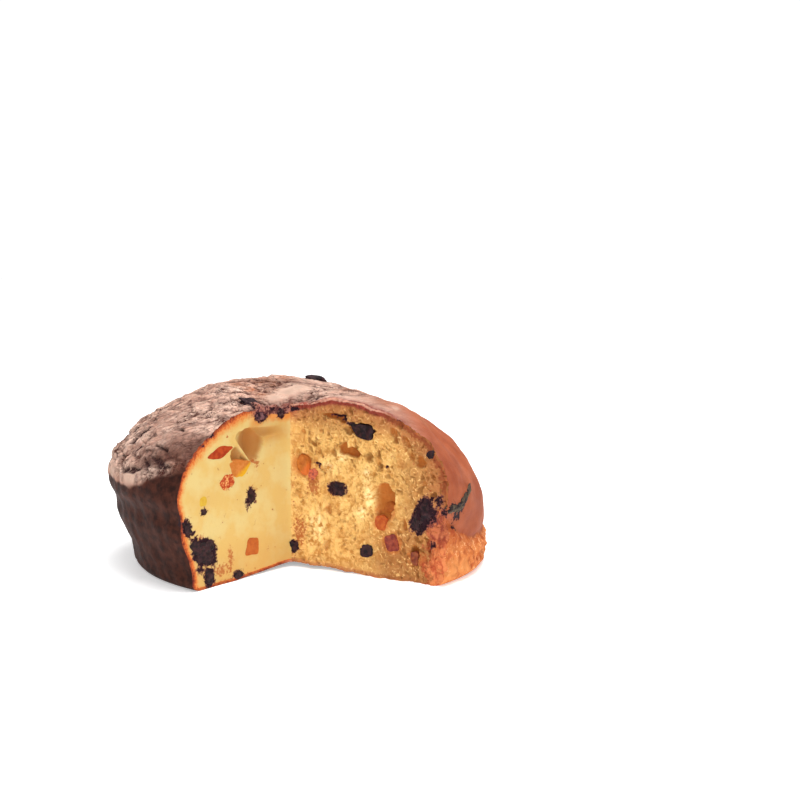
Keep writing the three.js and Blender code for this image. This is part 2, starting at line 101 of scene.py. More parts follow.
def spotted(points: Array, spots: Spots) -> Array:
    """The strongest of the bells round some spots of the loaf."""
    strongest = np.zeros(points.shape[:-1])
    for x, y, z, reach in spots:
        away = np.linalg.norm(points - np.array([x, y, z]), axis=-1)
        strongest = np.maximum(strongest, bell(away, 0, reach))
    return strongest


def blotted(length: Array, height: Array, spots: Spots) -> Array:
    """The strongest of the oval bells round some spots of a cut face."""
    strongest = np.zeros(length.shape)
    for along, up, wide, tall in spots:
        oval = np.exp(-(((length - along) / wide) ** 2) - ((height - up) / tall) ** 2)
        strongest = np.maximum(strongest, oval)
    return strongest


def outward_of(points: Array) -> Array:
    """The ways from the middle of the belly to places, each of length 1."""
    away = points - BELLY_CENTRE
    return away / np.linalg.norm(away, axis=-1, keepdims=True)


def on_sheet(length: Array, height: Array) -> Array:
    """Places on a cut face as x, y and z, for noise to be read there."""
    return np.stack([length, height, np.zeros(length.shape)], axis=-1)


def turned_into(across: Array, up: Array, turn: float) -> tuple[Array, Array]:
    """How far places lie along and up a frame that is turned by some degrees."""
    cosine, sine = math.cos(math.radians(turn)), math.sin(math.radians(turn))
    return across * cosine + up * sine, up * cosine - across * sine


def azimuth_of(points: Array) -> Array:
    """The turn of places round the loaf's axis from +X, in radians."""
    return np.arctan2(points[..., 1], points[..., 0])


def ripple(a: Array, b: Array, c: Array) -> Array:
    """An irregular wave between about -1 and 1, the mean of four crossed sines."""
    return (
        np.sin(1.7 * a + 0.9 * b + 2.1 * c + 0.3)
        + np.sin(-1.1 * a + 2.3 * b - 0.7 * c + 1.9)
        + np.sin(0.6 * a - 1.3 * b + 2.9 * c + 4.1)
        + np.sin(2.8 * a + 0.4 * b - 1.5 * c + 5.2)
    ) / 4


def corner_draw(ix: Array, iy: Array, iz: Array, seed: int) -> Array:
    """A repeatable number from 0 to 1 for each whole-number corner, by mixing the bits of its place.

    Args:
        ix, iy, iz: the corner's place, as whole numbers.
        seed: another seed gives other numbers.

    Returns:
        One number for each corner.
    """
    mixed = (
        ix.astype(np.int64).astype(np.uint32) * np.uint32(374761393)
        + iy.astype(np.int64).astype(np.uint32) * np.uint32(668265263)
        + iz.astype(np.int64).astype(np.uint32) * np.uint32(2246822519)
        + np.uint32(seed * 3266489917 % 2**32)
    )
    mixed = (mixed ^ (mixed >> np.uint32(15))) * np.uint32(2246822519)
    mixed = (mixed ^ (mixed >> np.uint32(13))) * np.uint32(3266489917)
    return (mixed ^ (mixed >> np.uint32(16))).astype(float) / 2**32


def smooth_noise(points: Array, seed: int) -> Array:
    """Smooth noise from -1 to 1: the draws at the eight corners round a point, blended by 3t² - 2t³.

    Args:
        points: places, with x, y and z last.
        seed: another seed gives other noise.

    Returns:
        The noise at each place.
    """
    low = np.floor(points)
    part = points - low
    blend = part * part * (3 - 2 * part)
    total = np.zeros(points.shape[:-1])
    for corner in range(8):
        step = np.array([corner & 1, corner >> 1 & 1, corner >> 2 & 1])
        weight = np.prod(np.where(step, blend, 1 - blend), axis=-1)
        place = low + step
        total += weight * corner_draw(place[..., 0], place[..., 1], place[..., 2], seed)
    return 2 * total - 1


def layered_noise(points: Array, layers: int, seed: int) -> Array:
    """Noise with finer noise on it: each layer is half as large and twice as strong in detail as the last."""
    total = np.zeros(points.shape[:-1])
    for layer in range(layers):
        total += smooth_noise(points * 2**layer + 17.3 * layer, seed + layer) / 2**layer
    return total / (2 - 2 ** (1 - layers))


def oval_pores(u: Array, v: Array, cell: float, chance: float, reach: float, seed: int, lean: Array) -> Array:
    """Scattered oval bowls on a face, each from 0 at its lip to 1 in its middle.

    A square cell holds at most one bowl. Its depth is the square root of 1 - q², where q is the distance
    from its middle in radii, and where bowls meet the deeper one counts.

    Args:
        u, v: places on the face in millimetres.
        cell: width of a cell in millimetres.
        chance: share of the cells that hold a bowl.
        reach: radius of the largest bowl, as a share of a cell.
        seed: another seed gives other bowls.
        lean: turn of the bowls' long way from upright, in radians.

    Returns:
        The depth at each place, from 0 to 1.
    """
    column, row = np.floor(u / cell), np.floor(v / cell)
    deepest = np.zeros(u.shape)
    for step_u in (-1, 0, 1):
        for step_v in (-1, 0, 1):
            cu, cv = column + step_u, row + step_v
            draws = [corner_draw(cu, cv, np.full(u.shape, k), seed) for k in range(5)]
            du = u - (cu + draws[0]) * cell
            dv = v - (cv + draws[1]) * cell
            radius = cell * reach * (0.4 + 0.6 * draws[2])
            turn = lean + (draws[3] - 0.5) * 1.5
            along = du * np.sin(turn) + dv * np.cos(turn)
            across = du * np.cos(turn) - dv * np.sin(turn)
            q2 = (along / (1.45 * radius)) ** 2 + (across / radius) ** 2
            bowl = np.sqrt(np.clip(1 - q2, 0, 1)) * (0.45 + 0.55 * draws[2])
            deepest = np.maximum(deepest, np.where(draws[4] < chance, bowl, 0))
    return deepest


def cell_walls(
    u: Array, v: Array, cell: float, stretch: float, lean: Array, seed: int
) -> tuple[Array, Array]:
    """A net of thin walls round long cells on a face.

    Each cell of a square grid holds one middle. The wall passes where the two nearest middles are equally
    far, measured with the long way of the cells shortened.

    Args:
        u, v: places on the face in millimetres.
        cell: mean distance between the middles.
        stretch: how many times longer than wide the cells are.
        lean: turn of their long way from upright, in radians.
        seed: another seed gives another net.

    Returns:
        The distance to the second nearest middle less that to the nearest, and a draw from 0 to 1.
    """
    column, row = np.floor(u / cell), np.floor(v / cell)
    zero = np.zeros(u.shape)
    nearest, second, draw = zero + 1e9, zero + 1e9, zero
    sine, cosine = np.sin(lean), np.cos(lean)
    for step in range(25):
        cu, cv = column + step % 5 - 2, row + step // 5 - 2
        du = u - (cu + corner_draw(cu, cv, zero, seed)) * cell
        dv = v - (cv + corner_draw(cu, cv, zero, seed + 1)) * cell
        away = np.hypot(du * cosine - dv * sine, (du * sine + dv * cosine) / stretch)
        second = np.minimum(second, np.maximum(nearest, away))
        draw = np.where(away < nearest, corner_draw(cu, cv, zero, seed + 2), draw)
        nearest = np.minimum(nearest, away)
    return second - nearest, draw


def nearest_middles(scaled: Array, seed: int) -> tuple[Array, Array, Array]:
    """The nearest two of the middles that are scattered in space, one in each cell of a unit grid.

    Args:
        scaled: places in cells, with x, y and z last.
        seed: another seed gives other middles.

    Returns:
        The squares of the distances to the nearest and the second nearest middle, and a draw from 0 to 1 for
        the nearest one.
    """
    low = np.floor(scaled)
    nearest = np.full(scaled.shape[:-1], 81.0)
    second = nearest.copy()
    draw = np.zeros(nearest.shape)
    for code in range(27):
        place = low + np.array([code % 3, code // 3 % 3, code // 9]) - 1
        cell = (place[..., 0], place[..., 1], place[..., 2])
        middle = place + np.stack([corner_draw(*cell, seed + k) for k in range(3)], axis=-1)
        away = ((scaled - middle) ** 2).sum(-1)
        second = np.minimum(second, np.maximum(nearest, away))
        draw = np.where(away < nearest, corner_draw(*cell, seed + 3), draw)
        nearest = np.minimum(nearest, away)
    return nearest, second, draw


def knobs(points: Array, cell: float, seed: int) -> Array:
    """Rounded lumps in space: 1 at middles about a cell apart, down to 0 between them, as 1 - 4/3 q²."""
    return np.clip(1 - nearest_middles(points / cell, seed)[0] / 0.75, 0, 1)


def scales(points: Array, size: Array, seed: int) -> tuple[Array, Array]:
    """Scales in space, with a crease wherever the two nearest middles are equally far.

    Args:
        points: places, with x, y and z last.
        size: the scales' mean size along x, y and z.
        seed: another seed gives other scales.

    Returns:
        The distance to the second nearest middle less that to the nearest, in scales, and a draw from 0 to 1
        for the scale.
    """
    nearest, second, draw = nearest_middles(points / size, seed)
    return np.sqrt(second) - np.sqrt(nearest), draw


@dataclass
class Solid:
    """Corners and faces of a closed solid while it is worked out, in millimetres."""

    corners: Array
    faces: list[Array]
    skin: Skin = Skin.OUTER

    @staticmethod
    def of_rings(rings: Array, bottom: Array, top: Array, skin: Skin = Skin.OUTER) -> "Solid":
        """Closes a stack of rings, each turning from +X towards +Y, with a fan of triangles at each end.

        Args:
            rings: places of shape (rings, places in a ring, 3), from the bottom up.
            bottom: middle of the lowest fan.
            top: middle of the highest fan.
            skin: the kind of surface that the solid's faces are.

        Returns:
            The solid, with its faces pointing outwards.
        """
        count, across = rings.shape[:2]
        here = np.arange(across)
        after = np.roll(here, -1)
        starts = np.arange(count - 1)[:, None] * across
        quads = np.stack(
            [starts + here, starts + after, starts + across + after, starts + across + here], axis=-1
        ).reshape(-1, 4)
        low, high = count * across, count * across + 1
        last = (count - 1) * across
        fans = np.concatenate(
            [
                np.stack([np.full(across, low), after, here], axis=-1),
                np.stack([np.full(across, high), last + here, last + after], axis=-1),
            ]
        )
        corners = np.concatenate([rings.reshape(-1, 3), [bottom], [top]])
        return Solid(corners, [quads, fans], skin)

    def make(self, name: str, scale: float = 1.0, shift: Array | None = None) -> bpy.types.Object:
        """Puts the solid into a new object.

        Args:
            name: the object's name.
            scale: millimetres are multiplied by this.
            shift: added to the corners first.

        Returns:
            The object, whose own place is the origin.
        """
        corners = (self.corners if shift is None else self.corners + shift) * scale
        mesh = bpy.data.meshes.new(name)
        sizes = np.concatenate([np.full(len(f), f.shape[1]) for f in self.faces])
        loops = np.concatenate([f.ravel() for f in self.faces])
        mesh.vertices.add(len(corners))
        mesh.vertices.foreach_set("co", corners.astype(np.float32).ravel())
        mesh.loops.add(len(loops))
        mesh.loops.foreach_set("vertex_index", loops.astype(np.int32))
        mesh.polygons.add(len(sizes))
        starts = np.concatenate([[0], np.cumsum(sizes)[:-1]])
        mesh.polygons.foreach_set("loop_start", starts.astype(np.int32))
        for _ in Skin:
            mesh.materials.append(None)
        mesh.update(calc_edges=True)
        mesh.polygons.foreach_set("material_index", np.full(len(sizes), self.skin.value, np.int32))
        made = bpy.data.objects.new(name, mesh)
        bpy.context.scene.collection.objects.link(made)
        return made


def places_of(piece: bpy.types.Object) -> Array:
    """The corners of a piece's mesh, as an array with x, y and z last."""
    flat = np.empty(len(piece.data.vertices) * 3, np.float32)
    piece.data.vertices.foreach_get("co", flat)
    return flat.reshape(-1, 3).astype(float)


def triangle_count(piece: bpy.types.Object) -> int:
    """How many triangles a piece's mesh makes."""
    return len(piece.data.loops) - 2 * len(piece.data.polygons)


def set_places(piece: bpy.types.Object, places: Array) -> None:
    """Writes the corners of a piece's mesh."""
    piece.data.vertices.foreach_set("co", places.astype(np.float32).ravel())
    piece.data.update()


def paint(piece: bpy.types.Object, name: str, values: Array) -> None:
    """Stores one number for each corner of a piece, for its materials to read."""
    layer = piece.data.attributes.new(name, "FLOAT", "POINT")
    layer.data.foreach_set("value", values.astype(np.float32))


def cut_out(target: bpy.types.Object, tool: bpy.types.Object) -> None:
    """Cuts the tool out of the target, and leaves no modifier behind.

    Args:
        target: what is cut.
        tool: what is cut out of it.
    """
    change = target.modifiers.new("change", "BOOLEAN")
    change.object = tool
    change.operation = "DIFFERENCE"
    change.solver = "MANIFOLD"
    graph = bpy.context.evaluated_depsgraph_get()
    changed = bpy.data.meshes.new_from_object(target.evaluated_get(graph))
    target.modifiers.clear()
    old = target.data
    target.data = changed
    bpy.data.meshes.remove(old)


def read(items: bpy.types.bpy_prop_collection, name: str) -> Array:
    """One whole number of every item of a mesh."""
    values = np.empty(len(items), np.int32)
    items.foreach_get(name, values)
    return values


def set_skins(piece: bpy.types.Object, materials: list[bpy.types.Material]) -> None:
    """Gives a piece one material for each kind of its surface, and keeps which face is which."""
    skin = read(piece.data.polygons, "material_index")
    piece.data.materials.clear()
    for material in materials:
        piece.data.materials.append(material)
    piece.data.polygons.foreach_set("material_index", skin)


def crease_between_skins(piece: bpy.types.Object) -> None:
    """Shades a piece smooth, with a sharp edge wherever two kinds of its surface meet.

    Args:
        piece: the piece.
    """
    mesh = piece.data
    edge_of_loop = read(mesh.loops, "edge_index")
    skin_of_loop = np.repeat(read(mesh.polygons, "material_index"), read(mesh.polygons, "loop_total"))
    least = np.full(len(mesh.edges), 99)
    most = np.full(len(mesh.edges), -1)
    np.minimum.at(least, edge_of_loop, skin_of_loop)
    np.maximum.at(most, edge_of_loop, skin_of_loop)
    mesh.polygons.foreach_set("use_smooth", np.ones(len(mesh.polygons), bool))
    mesh.edges.foreach_set("use_edge_sharp", least != most)
    mesh.update()


@dataclass(frozen=True)
class Station:
    """The loaf's outline at one azimuth.

    rim_radius and rim_height place its widest line, foot_radius is where it stands, and fullness is the power
    of the superellipse that its dome follows.
    """

    rim_radius: float
    rim_height: float
    foot_radius: float
    fullness: float


@dataclass
class LoafForm:
    """The outer form of the whole loaf, before it was cut."""

    stations: tuple[Station, ...] = (
        Station(102.6, 26, 103.0, 1.95),
        Station(97.0, 34, 96.0, 1.9),
        Station(94.0, 40, 90.0, 1.95),
        Station(96.0, 44, 87.0, 1.95),
        Station(101.6, 47, 87.0, 1.95),
        Station(98.8, 49, 87.0, 2.0),
        Station(99.0, 48, 93.0, 2.35),
        Station(103.0, 45, 100.5, 2.6),
    )
    height: float = 97.5
    # Broad swells of the dome: x, y, height and spread.
    swells: Spots = (
        (-42, 12, 2.8, 24), (40, 14, -3.5, 22), (-6, -24, -8.5, 15), (34, -36, -1.5, 14),
    )
    hollow_depth: float = 4.5
    hollow_radius: float = 60.0
    hollow_power: float = 1.3
    foot_rounding: float = 4.0
    # Numbers of steps in the fine mesh.
    around: int = 524
    dome_steps: int = 127
    side_steps: int = 44
    sole_steps: int = 6

    def station_size(self, azimuth: Array, size: str) -> Array:
        """A size of the stations at any azimuth, by a Catmull-Rom curve through their closed ring."""
        values = np.array([getattr(s, size) for s in self.stations], float)
        steps = np.mod(azimuth / (2 * math.pi) * len(values), len(values))
        index = np.floor(steps).astype(int)
        t = steps - index
        a, b, c, d = (values[(index + k) % len(values)] for k in (-1, 0, 1, 2))
        return b + 0.5 * t * (c - a + t * (2 * a - 5 * b + 4 * c - d + t * (3 * (b - c) + d - a)))

    def dome(self, azimuth: Array, angle: Array) -> Array:
        """The dome at an angle down from its crown: a superellipse up to the rim, with the swells added.

        Args:
            azimuth: turns round the loaf's axis in radians.
            angle: angles down from the crown in radians.

        Returns:
            The places in millimetres.
        """
        rim_height = self.station_size(azimuth, "rim_height")
        power = 2 / self.station_size(azimuth, "fullness")
        radius = self.station_size(azimuth, "rim_radius") * np.sin(angle) ** power
        x, y = radius * np.cos(azimuth), radius * np.sin(azimuth)
        lift = np.maximum(np.cos(angle), 0)
        z = rim_height + (self.height - rim_height) * lift**power
        for sx, sy, height, spread in self.swells:
            z = z + height * np.exp(-((x - sx) ** 2 + (y - sy) ** 2) / (2 * spread**2)) * lift
        return np.stack([x, y, z], axis=-1)

    def side(self, azimuth: Array, share: Array) -> Array:
        """The side at a share of the way from the rim down to the foot, with the groove under the dome.

        Args:
            azimuth: turns round the loaf's axis in radians.
            share: shares of the way down.

        Returns:
            The places in millimetres.
        """
        rim = self.station_size(azimuth, "rim_radius")
        foot = self.station_size(azimuth, "foot_radius")
        leftward = 0.5 - 0.5 * np.cos(azimuth)
        groove = (0.6 + 2.6 * leftward**2) * bell(share, 0.2, 0.13) * (1 - bell(share, 0, 0.06))
        height = self.station_size(azimuth, "rim_height") * (1 - share)
        rounding = np.clip(1 - height / self.foot_rounding, 0, 1)
        tuck = self.foot_rounding * (1 - np.sqrt(1 - rounding**2))
        radius = rim + (foot - rim) * rise(share, 0, 1) - groove - tuck
        return np.stack([radius * np.cos(azimuth), radius * np.sin(azimuth), height], axis=-1)

    def sole(self, azimuth: Array, share: Array) -> Array:
        """The underside at a share of the way in: flat outside, and hollowed like a shallow cone inside."""
        radius = (self.station_size(azimuth, "foot_radius") - self.foot_rounding) * (1 - share)
        z = self.hollow_height(radius)
        return np.stack([radius * np.cos(azimuth), radius * np.sin(azimuth), z], axis=-1)

    def hollow_height(self, radius: Array) -> Array:
        """How high the underside is above the table at a distance from the axis."""
        return self.hollow_depth * np.maximum(0, 1 - radius / self.hollow_radius) ** self.hollow_power

    def rings(self, around: int, dome_steps: int, side_steps: int, sole_steps: int) -> Array:
        """Rings of the smooth form, from the inner underside up to just below the crown.

        Args:
            around: how many places each ring has.
            dome_steps: how many rings the dome has.
            side_steps: how many rings the side has.
            sole_steps: how many rings the underside has.

        Returns:
            Places of shape (rings, places in a ring, 3).
        """
        azimuth = np.arange(around) * 2 * math.pi / around
        sole_share = np.arange(sole_steps, 0, -1) / (sole_steps + 1)
        side_share = (np.arange(side_steps, 0, -1) / side_steps) ** 0.85
        angle = math.pi / 2 * np.arange(dome_steps, 0, -1) / dome_steps
        return np.concatenate(
            [
                self.sole(azimuth[None], sole_share[:, None]),
                self.side(azimuth[None], side_share[:, None]),
                self.dome(azimuth[None], angle[:, None]),
            ]
        )


@dataclass(frozen=True)
class Gash:
    """A crack of the crust, painted dark as shade: the azimuths and angles from the crown of its two ends,
    and its width.
    """

    start: tuple[float, float]
    end: tuple[float, float]
    width: float


GASHES = (
    Gash((-163.5, 62.5), (-163.5, 52.0), 2.6), Gash((-166.5, 52), (-171.5, 47.5), 2.3),
    Gash((-159.5, 41.5), (-157.5, 39.5), 1.2), Gash((-143, 48.5), (-139, 50), 1.0),
    Gash((-158, 65), (-155.5, 59), 2.6), Gash((-155.5, 60), (-152.5, 55.5), 1.9),
    Gash((-169.5, 50.5), (-166.5, 48.5), 1.7), Gash((-176.5, 48.5), (-172.5, 46.5), 1.6),
    Gash((-178.5, 78), (-176, 73), 1.7), Gash((-155.5, 78), (-148, 75), 2.4),
    Gash((-139, 71), (-133.5, 70), 1.9), Gash((-147.5, 68.5), (-142.5, 74), 1.9),
    Gash((-147, 60), (-139, 61.5), 1.2), Gash((-144, 66.5), (-136, 70.5), 1.8),
    Gash((-170.5, 71.5), (-165.5, 75.5), 1.0), Gash((-165, 69.5), (-159, 74), 1.0),
    Gash((-132, 28), (-130, 16.5), 2.2), Gash((-119.5, 27.5), (-117, 24.5), 2.4),
    Gash((-74, 6), (-51.5, 8.5), 1.5), Gash((-71.5, 10.5), (-53, 10), 1.3),
    Gash((-165.5, 36), (-162, 35), 1.4), Gash((118, 52), (124, 54), 1.6), Gash((136, 61), (141, 57), 2.0),
    Gash((96, 44), (103, 42), 1.4), Gash((150, 44), (156, 40), 1.5), Gash((165, 63), (170, 57), 1.8),
    Gash((74, 62), (80, 64), 1.5), Gash((128, 34), (136, 30), 1.3),
)


@dataclass
class CrustPattern:
    """The folds, wrinkles, cracks and torn crumbs of the crust, and where each kind of crust lies.

    Lengths are millimetres. A fade's values are heights, or ways to the left (-X) or the right (+X).
    """

    # The scales of the top along X, Y and Z, and the rounder ones along the left rim.
    scale_size: Size = (12.0, 3.6, 12.0)
    rim_scale_size: Size = (10.0, 5.5, 7.0)
    # How far each kind of relief stands out or in.
    fold_height: float = 0.85
    crack_depth: float = 1.3
    gash_depth: float = 1.6
    groove_depth: float = 0.9
    deepest: float = 2.1
    # The pale crust, the pleats under the left rim, and the darker brown on the left, partly bake and partly
    # painted shade, darkest beside the cut.
    pale_above: Fade = (44, 60)
    pale_until: Fade = (20, 62)
    pleated_above: Fade = (42, 60)
    pleated_left: Fade = (10, 70)
    brown_until: Fade = (66, 88)
    brown_left: Fade = (20, 50)
    brown_azimuth: float = math.radians(-130)
    # The dark side: the height of its upper edge, its climb beside the cut, and the edge on the right.
    seam_height: float = 52.5
    seam_climb: float = 13.0
    climb_azimuths: Fade = (math.radians(-150), math.radians(-127))
    right_seam: float = 30.0
    dark_until: Fade = (40, 62)
    groove_above: Fade = (34, 48)
    ridge_height: float = 3.6
    ridge_left: Fade = (30, 60)
    # The torn foot on the right: its height, how much higher it is beside the cut, and its crumbs' sizes.
    torn_low: float = 19.5
    torn_high: float = 18.0
    torn_beyond: Fade = (30, 62)
    crumbly_beyond: Fade = (35, 75)
    crumb_sizes: tuple[float, float] = (6.0, 2.8)
    # The lumpy crest behind the cut: lengths along the cut, how far it reaches back, and its lumps' size.
    crest_from: Fade = (-32, -24)
    crest_to: Fade = (-3, 5)
    crest_above: Fade = (74, 82)
    crest_reach: float = 9.0
    crest_knob: float = 5.6
    # The red roll along the top of the torn face, specked with dust and painted glints: lengths along the
    # cut, heights, and its reach.
    lip_from: Fade = (-8, 2)
    lip_to: Fade = (62, 80)
    lip_above: Fade = (66, 74)
    lip_reach: float = 3.4
    # Where the crust is tanned, where it is glazed and smooth, with a paler colour that is partly painted
    # sheen, and where the torn foot is golden.
    tanned: Spots = (
        (-17.5, 7.2, 97.1, 7), (-10.7, 3.5, 96.1, 5), (-23.7, -6.1, 95.2, 6), (-5.1, 12.3, 96.8, 6),
        (-30, 2, 96, 6), (-17.6, -9.7, 94.4, 6), (-12.9, -3.7, 95.4, 4), (29.8, -10, 94.4, 6),
        (38.4, 2.7, 90, 7), (47, 12, 86, 9), (47.7, -32.8, 90.7, 7), (68, -30, 82, 8), (20, 50, 86, 16),
        (-58, -70, 66, 7),
    )
    glazed: Spots = (
        (-3.5, -7.4, 93.1, 7), (2.5, -4, 94.5, 6), (-10.3, -13.4, 91.1, 5), (52.7, -38.3, 89.1, 2.2),
        (-97.1, -26, 53.2, 4), (-85.8, -48.6, 56.5, 5), (-20, 40, 88, 9),
    )
    golden: Spots = ((83.5, -60, 8, 7.5), (88.6, -52, 8, 6), (79.5, -64, 4, 5))
    # Thin melted chocolate: thick drops and flecks, the streak's ground, and faint smears.
    drops: Spots = (
        (-26.2, -26.6, 93.4, 5), (-21.3, -29, 93.2, 5.6), (-15.6, -26, 92.6, 4), (-1.4, -24.1, 91.6, 4.6),
        (-9, -26, 91.6, 3.4), (80.8, -64.2, 42, 4.4), (-25.3, -33, 90.7, 4), (-22, -36, 90.4, 3),
        (-55.8, -81.2, 47, 5), (-57, -77, 39, 6), (-50.6, 10.3, 91.8, 2.2), (-41, 17.5, 93.7, 2.6),
        (-50.2, -15.8, 90.8, 1.6),
    )
    streak_ground: Spots = ((83.7, -59.7, 37, 6), (86.5, -56, 41, 6), (82, -61.5, 31, 4))
    smears: Spots = (
        (11, -20.3, 92, 4), (-79, -24.9, 75.8, 5), (-84.4, -12.6, 74.1, 6), (20, 30, 92, 7),
        (-30, 60, 80, 9), (60, 50, 62, 9),
    )
    # Where the crust stands out (+) or in (-) besides its folds: x, y, z, reach and how far.
    stands: tuple[tuple[float, float, float, float, float], ...] = (
        (32, -14, 93, 12, 1.9),
        (52, -27, 90, 10, 1.8),
        (80, -33, 72, 15, -4.4),
        (90, -32, 58, 12, -2.8),
    )

    def torn_height(self, azimuth: Array) -> Array:
        """How high the torn foot on the right reaches: highest beside the cut."""
        turned = np.mod(azimuth + math.pi, 2 * math.pi) - math.pi
        cut_side = WedgeCut.torn_turn - math.pi / 2 - math.radians(13)
        return self.torn_low + self.torn_high * bell(turned, cut_side, 0.2)

    def shape(self, points: Array, azimuth: Array) -> Array:
        """The larger relief, which the plain solid has too: swells, folds, pleats and the torn foot.

        Args:
            points: places in millimetres, with x, y and z last.
            azimuth: turns round the loaf's axis in radians.

        Returns:
            The height at each place in millimetres.
        """
        x, y, z = points[..., 0], points[..., 1], points[..., 2]
        slow = 0.8 * ripple(x / 15, y / 15, z / 15)
        short = 0.55 * ripple(x / 6.2, y / 6.2, z / 6.2)
        on_left = rise(-x, *self.pleated_left) * rise(z, *self.pleated_above)
        pleats = 0.75 * on_left * np.sin(23 * azimuth + 2.4 * ripple(x / 18, y / 18, z / 11))
        above_torn = z - self.torn_height(azimuth)
        on_right = rise(x, *self.crumbly_beyond)
        crumbs = ripple(x / 3.1, y / 3.1, z / 3.4)
        crumbs = 1.7 * on_right * (1 - rise(above_torn, -5, 0)) * np.abs(crumbs)
        edge = -1.1 * on_right * bell(above_torn, 0, 2.2)
        return slow + short + pleats + crumbs + edge

    def torn(self, points: Array) -> Array:
        """1 where the foot on the right was torn from its paper, 0 elsewhere, with a ragged border."""
        ragged = 2.6 * layered_noise(points / 5.5, 3, 71)
        above = points[..., 2] - self.torn_height(azimuth_of(points)) + ragged
        return rise(points[..., 0], *self.torn_beyond) * (1 - rise(above, -0.7, 0.7))

    def pale(self, points: Array) -> Array:
        """1 on the pale wrinkled crust of the crown and the left, 0 on the reddish crust of the right."""
        x, y, z = points[..., 0], points[..., 1], points[..., 2]
        wander = 9 * layered_noise(points / 22, 2, 31)
        return (1 - rise(x + 0.25 * y + wander, *self.pale_until)) * rise(z, *self.pale_above)

    def flank(self, points: Array) -> Array:
        """1 on the dark smooth side under the rim, 0 on the dome and the torn foot."""
        left = rise(-points[..., 0], -30, 40)
        right_seam = self.right_seam + 4 * smooth_noise(points / 16, 12)
        below = 1 - rise(points[..., 2] - (left * self.seam(points) + (1 - left) * right_seam), -1.6, 0.8)
        return below * (1 - self.torn(points)) * (1 - rise(points[..., 0], *self.dark_until))

    def beside_cut(self, points: Array) -> Array:
        """How close a place on the left is to the cut, from 0 to 1."""
        azimuth = azimuth_of(points)
        return (azimuth < 0) * rise(azimuth, *self.climb_azimuths)

    def seam(self, points: Array) -> Array:
        """How high the dark side reaches up on the left: a wavy line that climbs beside the cut."""
        azimuth = azimuth_of(points)
        wavy = 1.8 * ripple(4 * azimuth, 7 * azimuth, 2 * azimuth) + 1.4 * smooth_noise(points / 5, 9)
        return self.seam_height + wavy + self.seam_climb * self.beside_cut(points)

    def ridge(self, points: Array) -> Array:
        """1 on the pale ridge of crust just above the dark side, from the left to the cut."""
        azimuth = azimuth_of(points)
        left = rise(-points[..., 0], *self.ridge_left) * (1 - (azimuth < 0) * rise(azimuth, -2.36, -2.24))
        return left * bell(points[..., 2], self.seam(points) + self.ridge_height, 4)

    def gash(self, points: Array) -> Array:
        """How much of a place is in a crack, with ragged borders; the crust's material paints it dark as
        shade.

        The distance to each crack's line is measured on the unit ball round the belly's middle, times the
        place's distance from there, so that the crust's relief doesn't change it.

        Args:
            points: places on or near the crust in millimetres.

        Returns:
            1 along a crack's middle and 0 outside it.
        """
        ray = points - BELLY_CENTRE
        reach = np.linalg.norm(ray, axis=-1)
        unit = ray / reach[..., None]
        ragged = 0.6 * layered_noise(points / np.array([2.6, 2.6, 1.3]), 2, 57)
        most = np.zeros(reach.shape)
        for gash in GASHES:
            ends = np.radians(np.array([gash.start, gash.end]))
            first, last = outward_of(LoafForm().dome(ends[:, 0], ends[:, 1]))
            way = last - first
            share = np.clip((unit - first) @ way / (way @ way), 0, 1)
            away = np.linalg.norm(unit - first - share[..., None] * way, axis=-1) * reach
            taper = 0.45 + 0.55 * np.sin(math.pi * np.clip(share, 0.1, 0.9))
            most = np.maximum(most, 1 - rise(away / (gash.width * taper) + ragged, 0.35, 1.1))
        return most

    def wrinkles(self, points: Array) -> tuple[Array, Array]:
        """Scales that run from the left rim over the crown to the right, and the cracks between them.

        The scales of two sizes lie along X and up, and are bent a little by noise.

        Args:
            points: places on or near the crust in millimetres.

        Returns:
            The height of the wrinkles from about -1 to 1, and the depth of the cracks from 0 to 1.
        """
        bent = points.copy()
        bent[..., 1] += 3.4 * smooth_noise(points / 17, 3) + 1.1 * smooth_noise(points / 6, 4)
        size = np.array(self.scale_size)
        gap, draw = scales(bent, size, 41)
        gap_wide, draw_wide = scales(bent, 2.3 * size, 46)
        where = rise(smooth_noise(points / 19, 47), -0.6, 0.3)
        crack = np.maximum(1 - rise(gap, 0.0, 0.24), 1 - rise(gap_wide, 0.0, 0.12)) * where
        fold = smooth_noise(bent / size * 0.42, 44)
        rim = bell(points[..., 2], 66, 12) * rise(-points[..., 0], 25, 60)
        gap_rim, draw_rim = scales(points + 2.5 * (bent - points), np.array(self.rim_scale_size), 53)
        crack = np.maximum(crack, rim * (1 - rise(gap_rim, 0.02, 0.3)))
        rough = 1 - 0.9 * np.clip(1.4 * spotted(points, self.glazed), 0, 1)
        folds = 0.65 * (draw + draw_wide - 1) + 0.8 * fold + 2.6 * rim * (draw_rim - 0.4)
        return folds * rough, crack * rough

    def behind_cut(self, points: Array) -> tuple[Array, Array]:
        """The length along the cut that places belong to, and how far they lie behind it."""
        cut = WedgeCut()
        length = cut.length_of(points)
        return length, cut.depth_of(points, length)

    def lip(self, points: Array) -> Array:
        """1 on the red roll of crust, specked with dust and painted glints, along the top of the torn face,
        fading out behind it.
        """
        length, behind = self.behind_cut(points)
        on_top = rise(length, *self.lip_from) * (1 - rise(length, *self.lip_to))
        return bell(np.maximum(behind, 0), 0, self.lip_reach) * on_top * rise(points[..., 2], *self.lip_above)

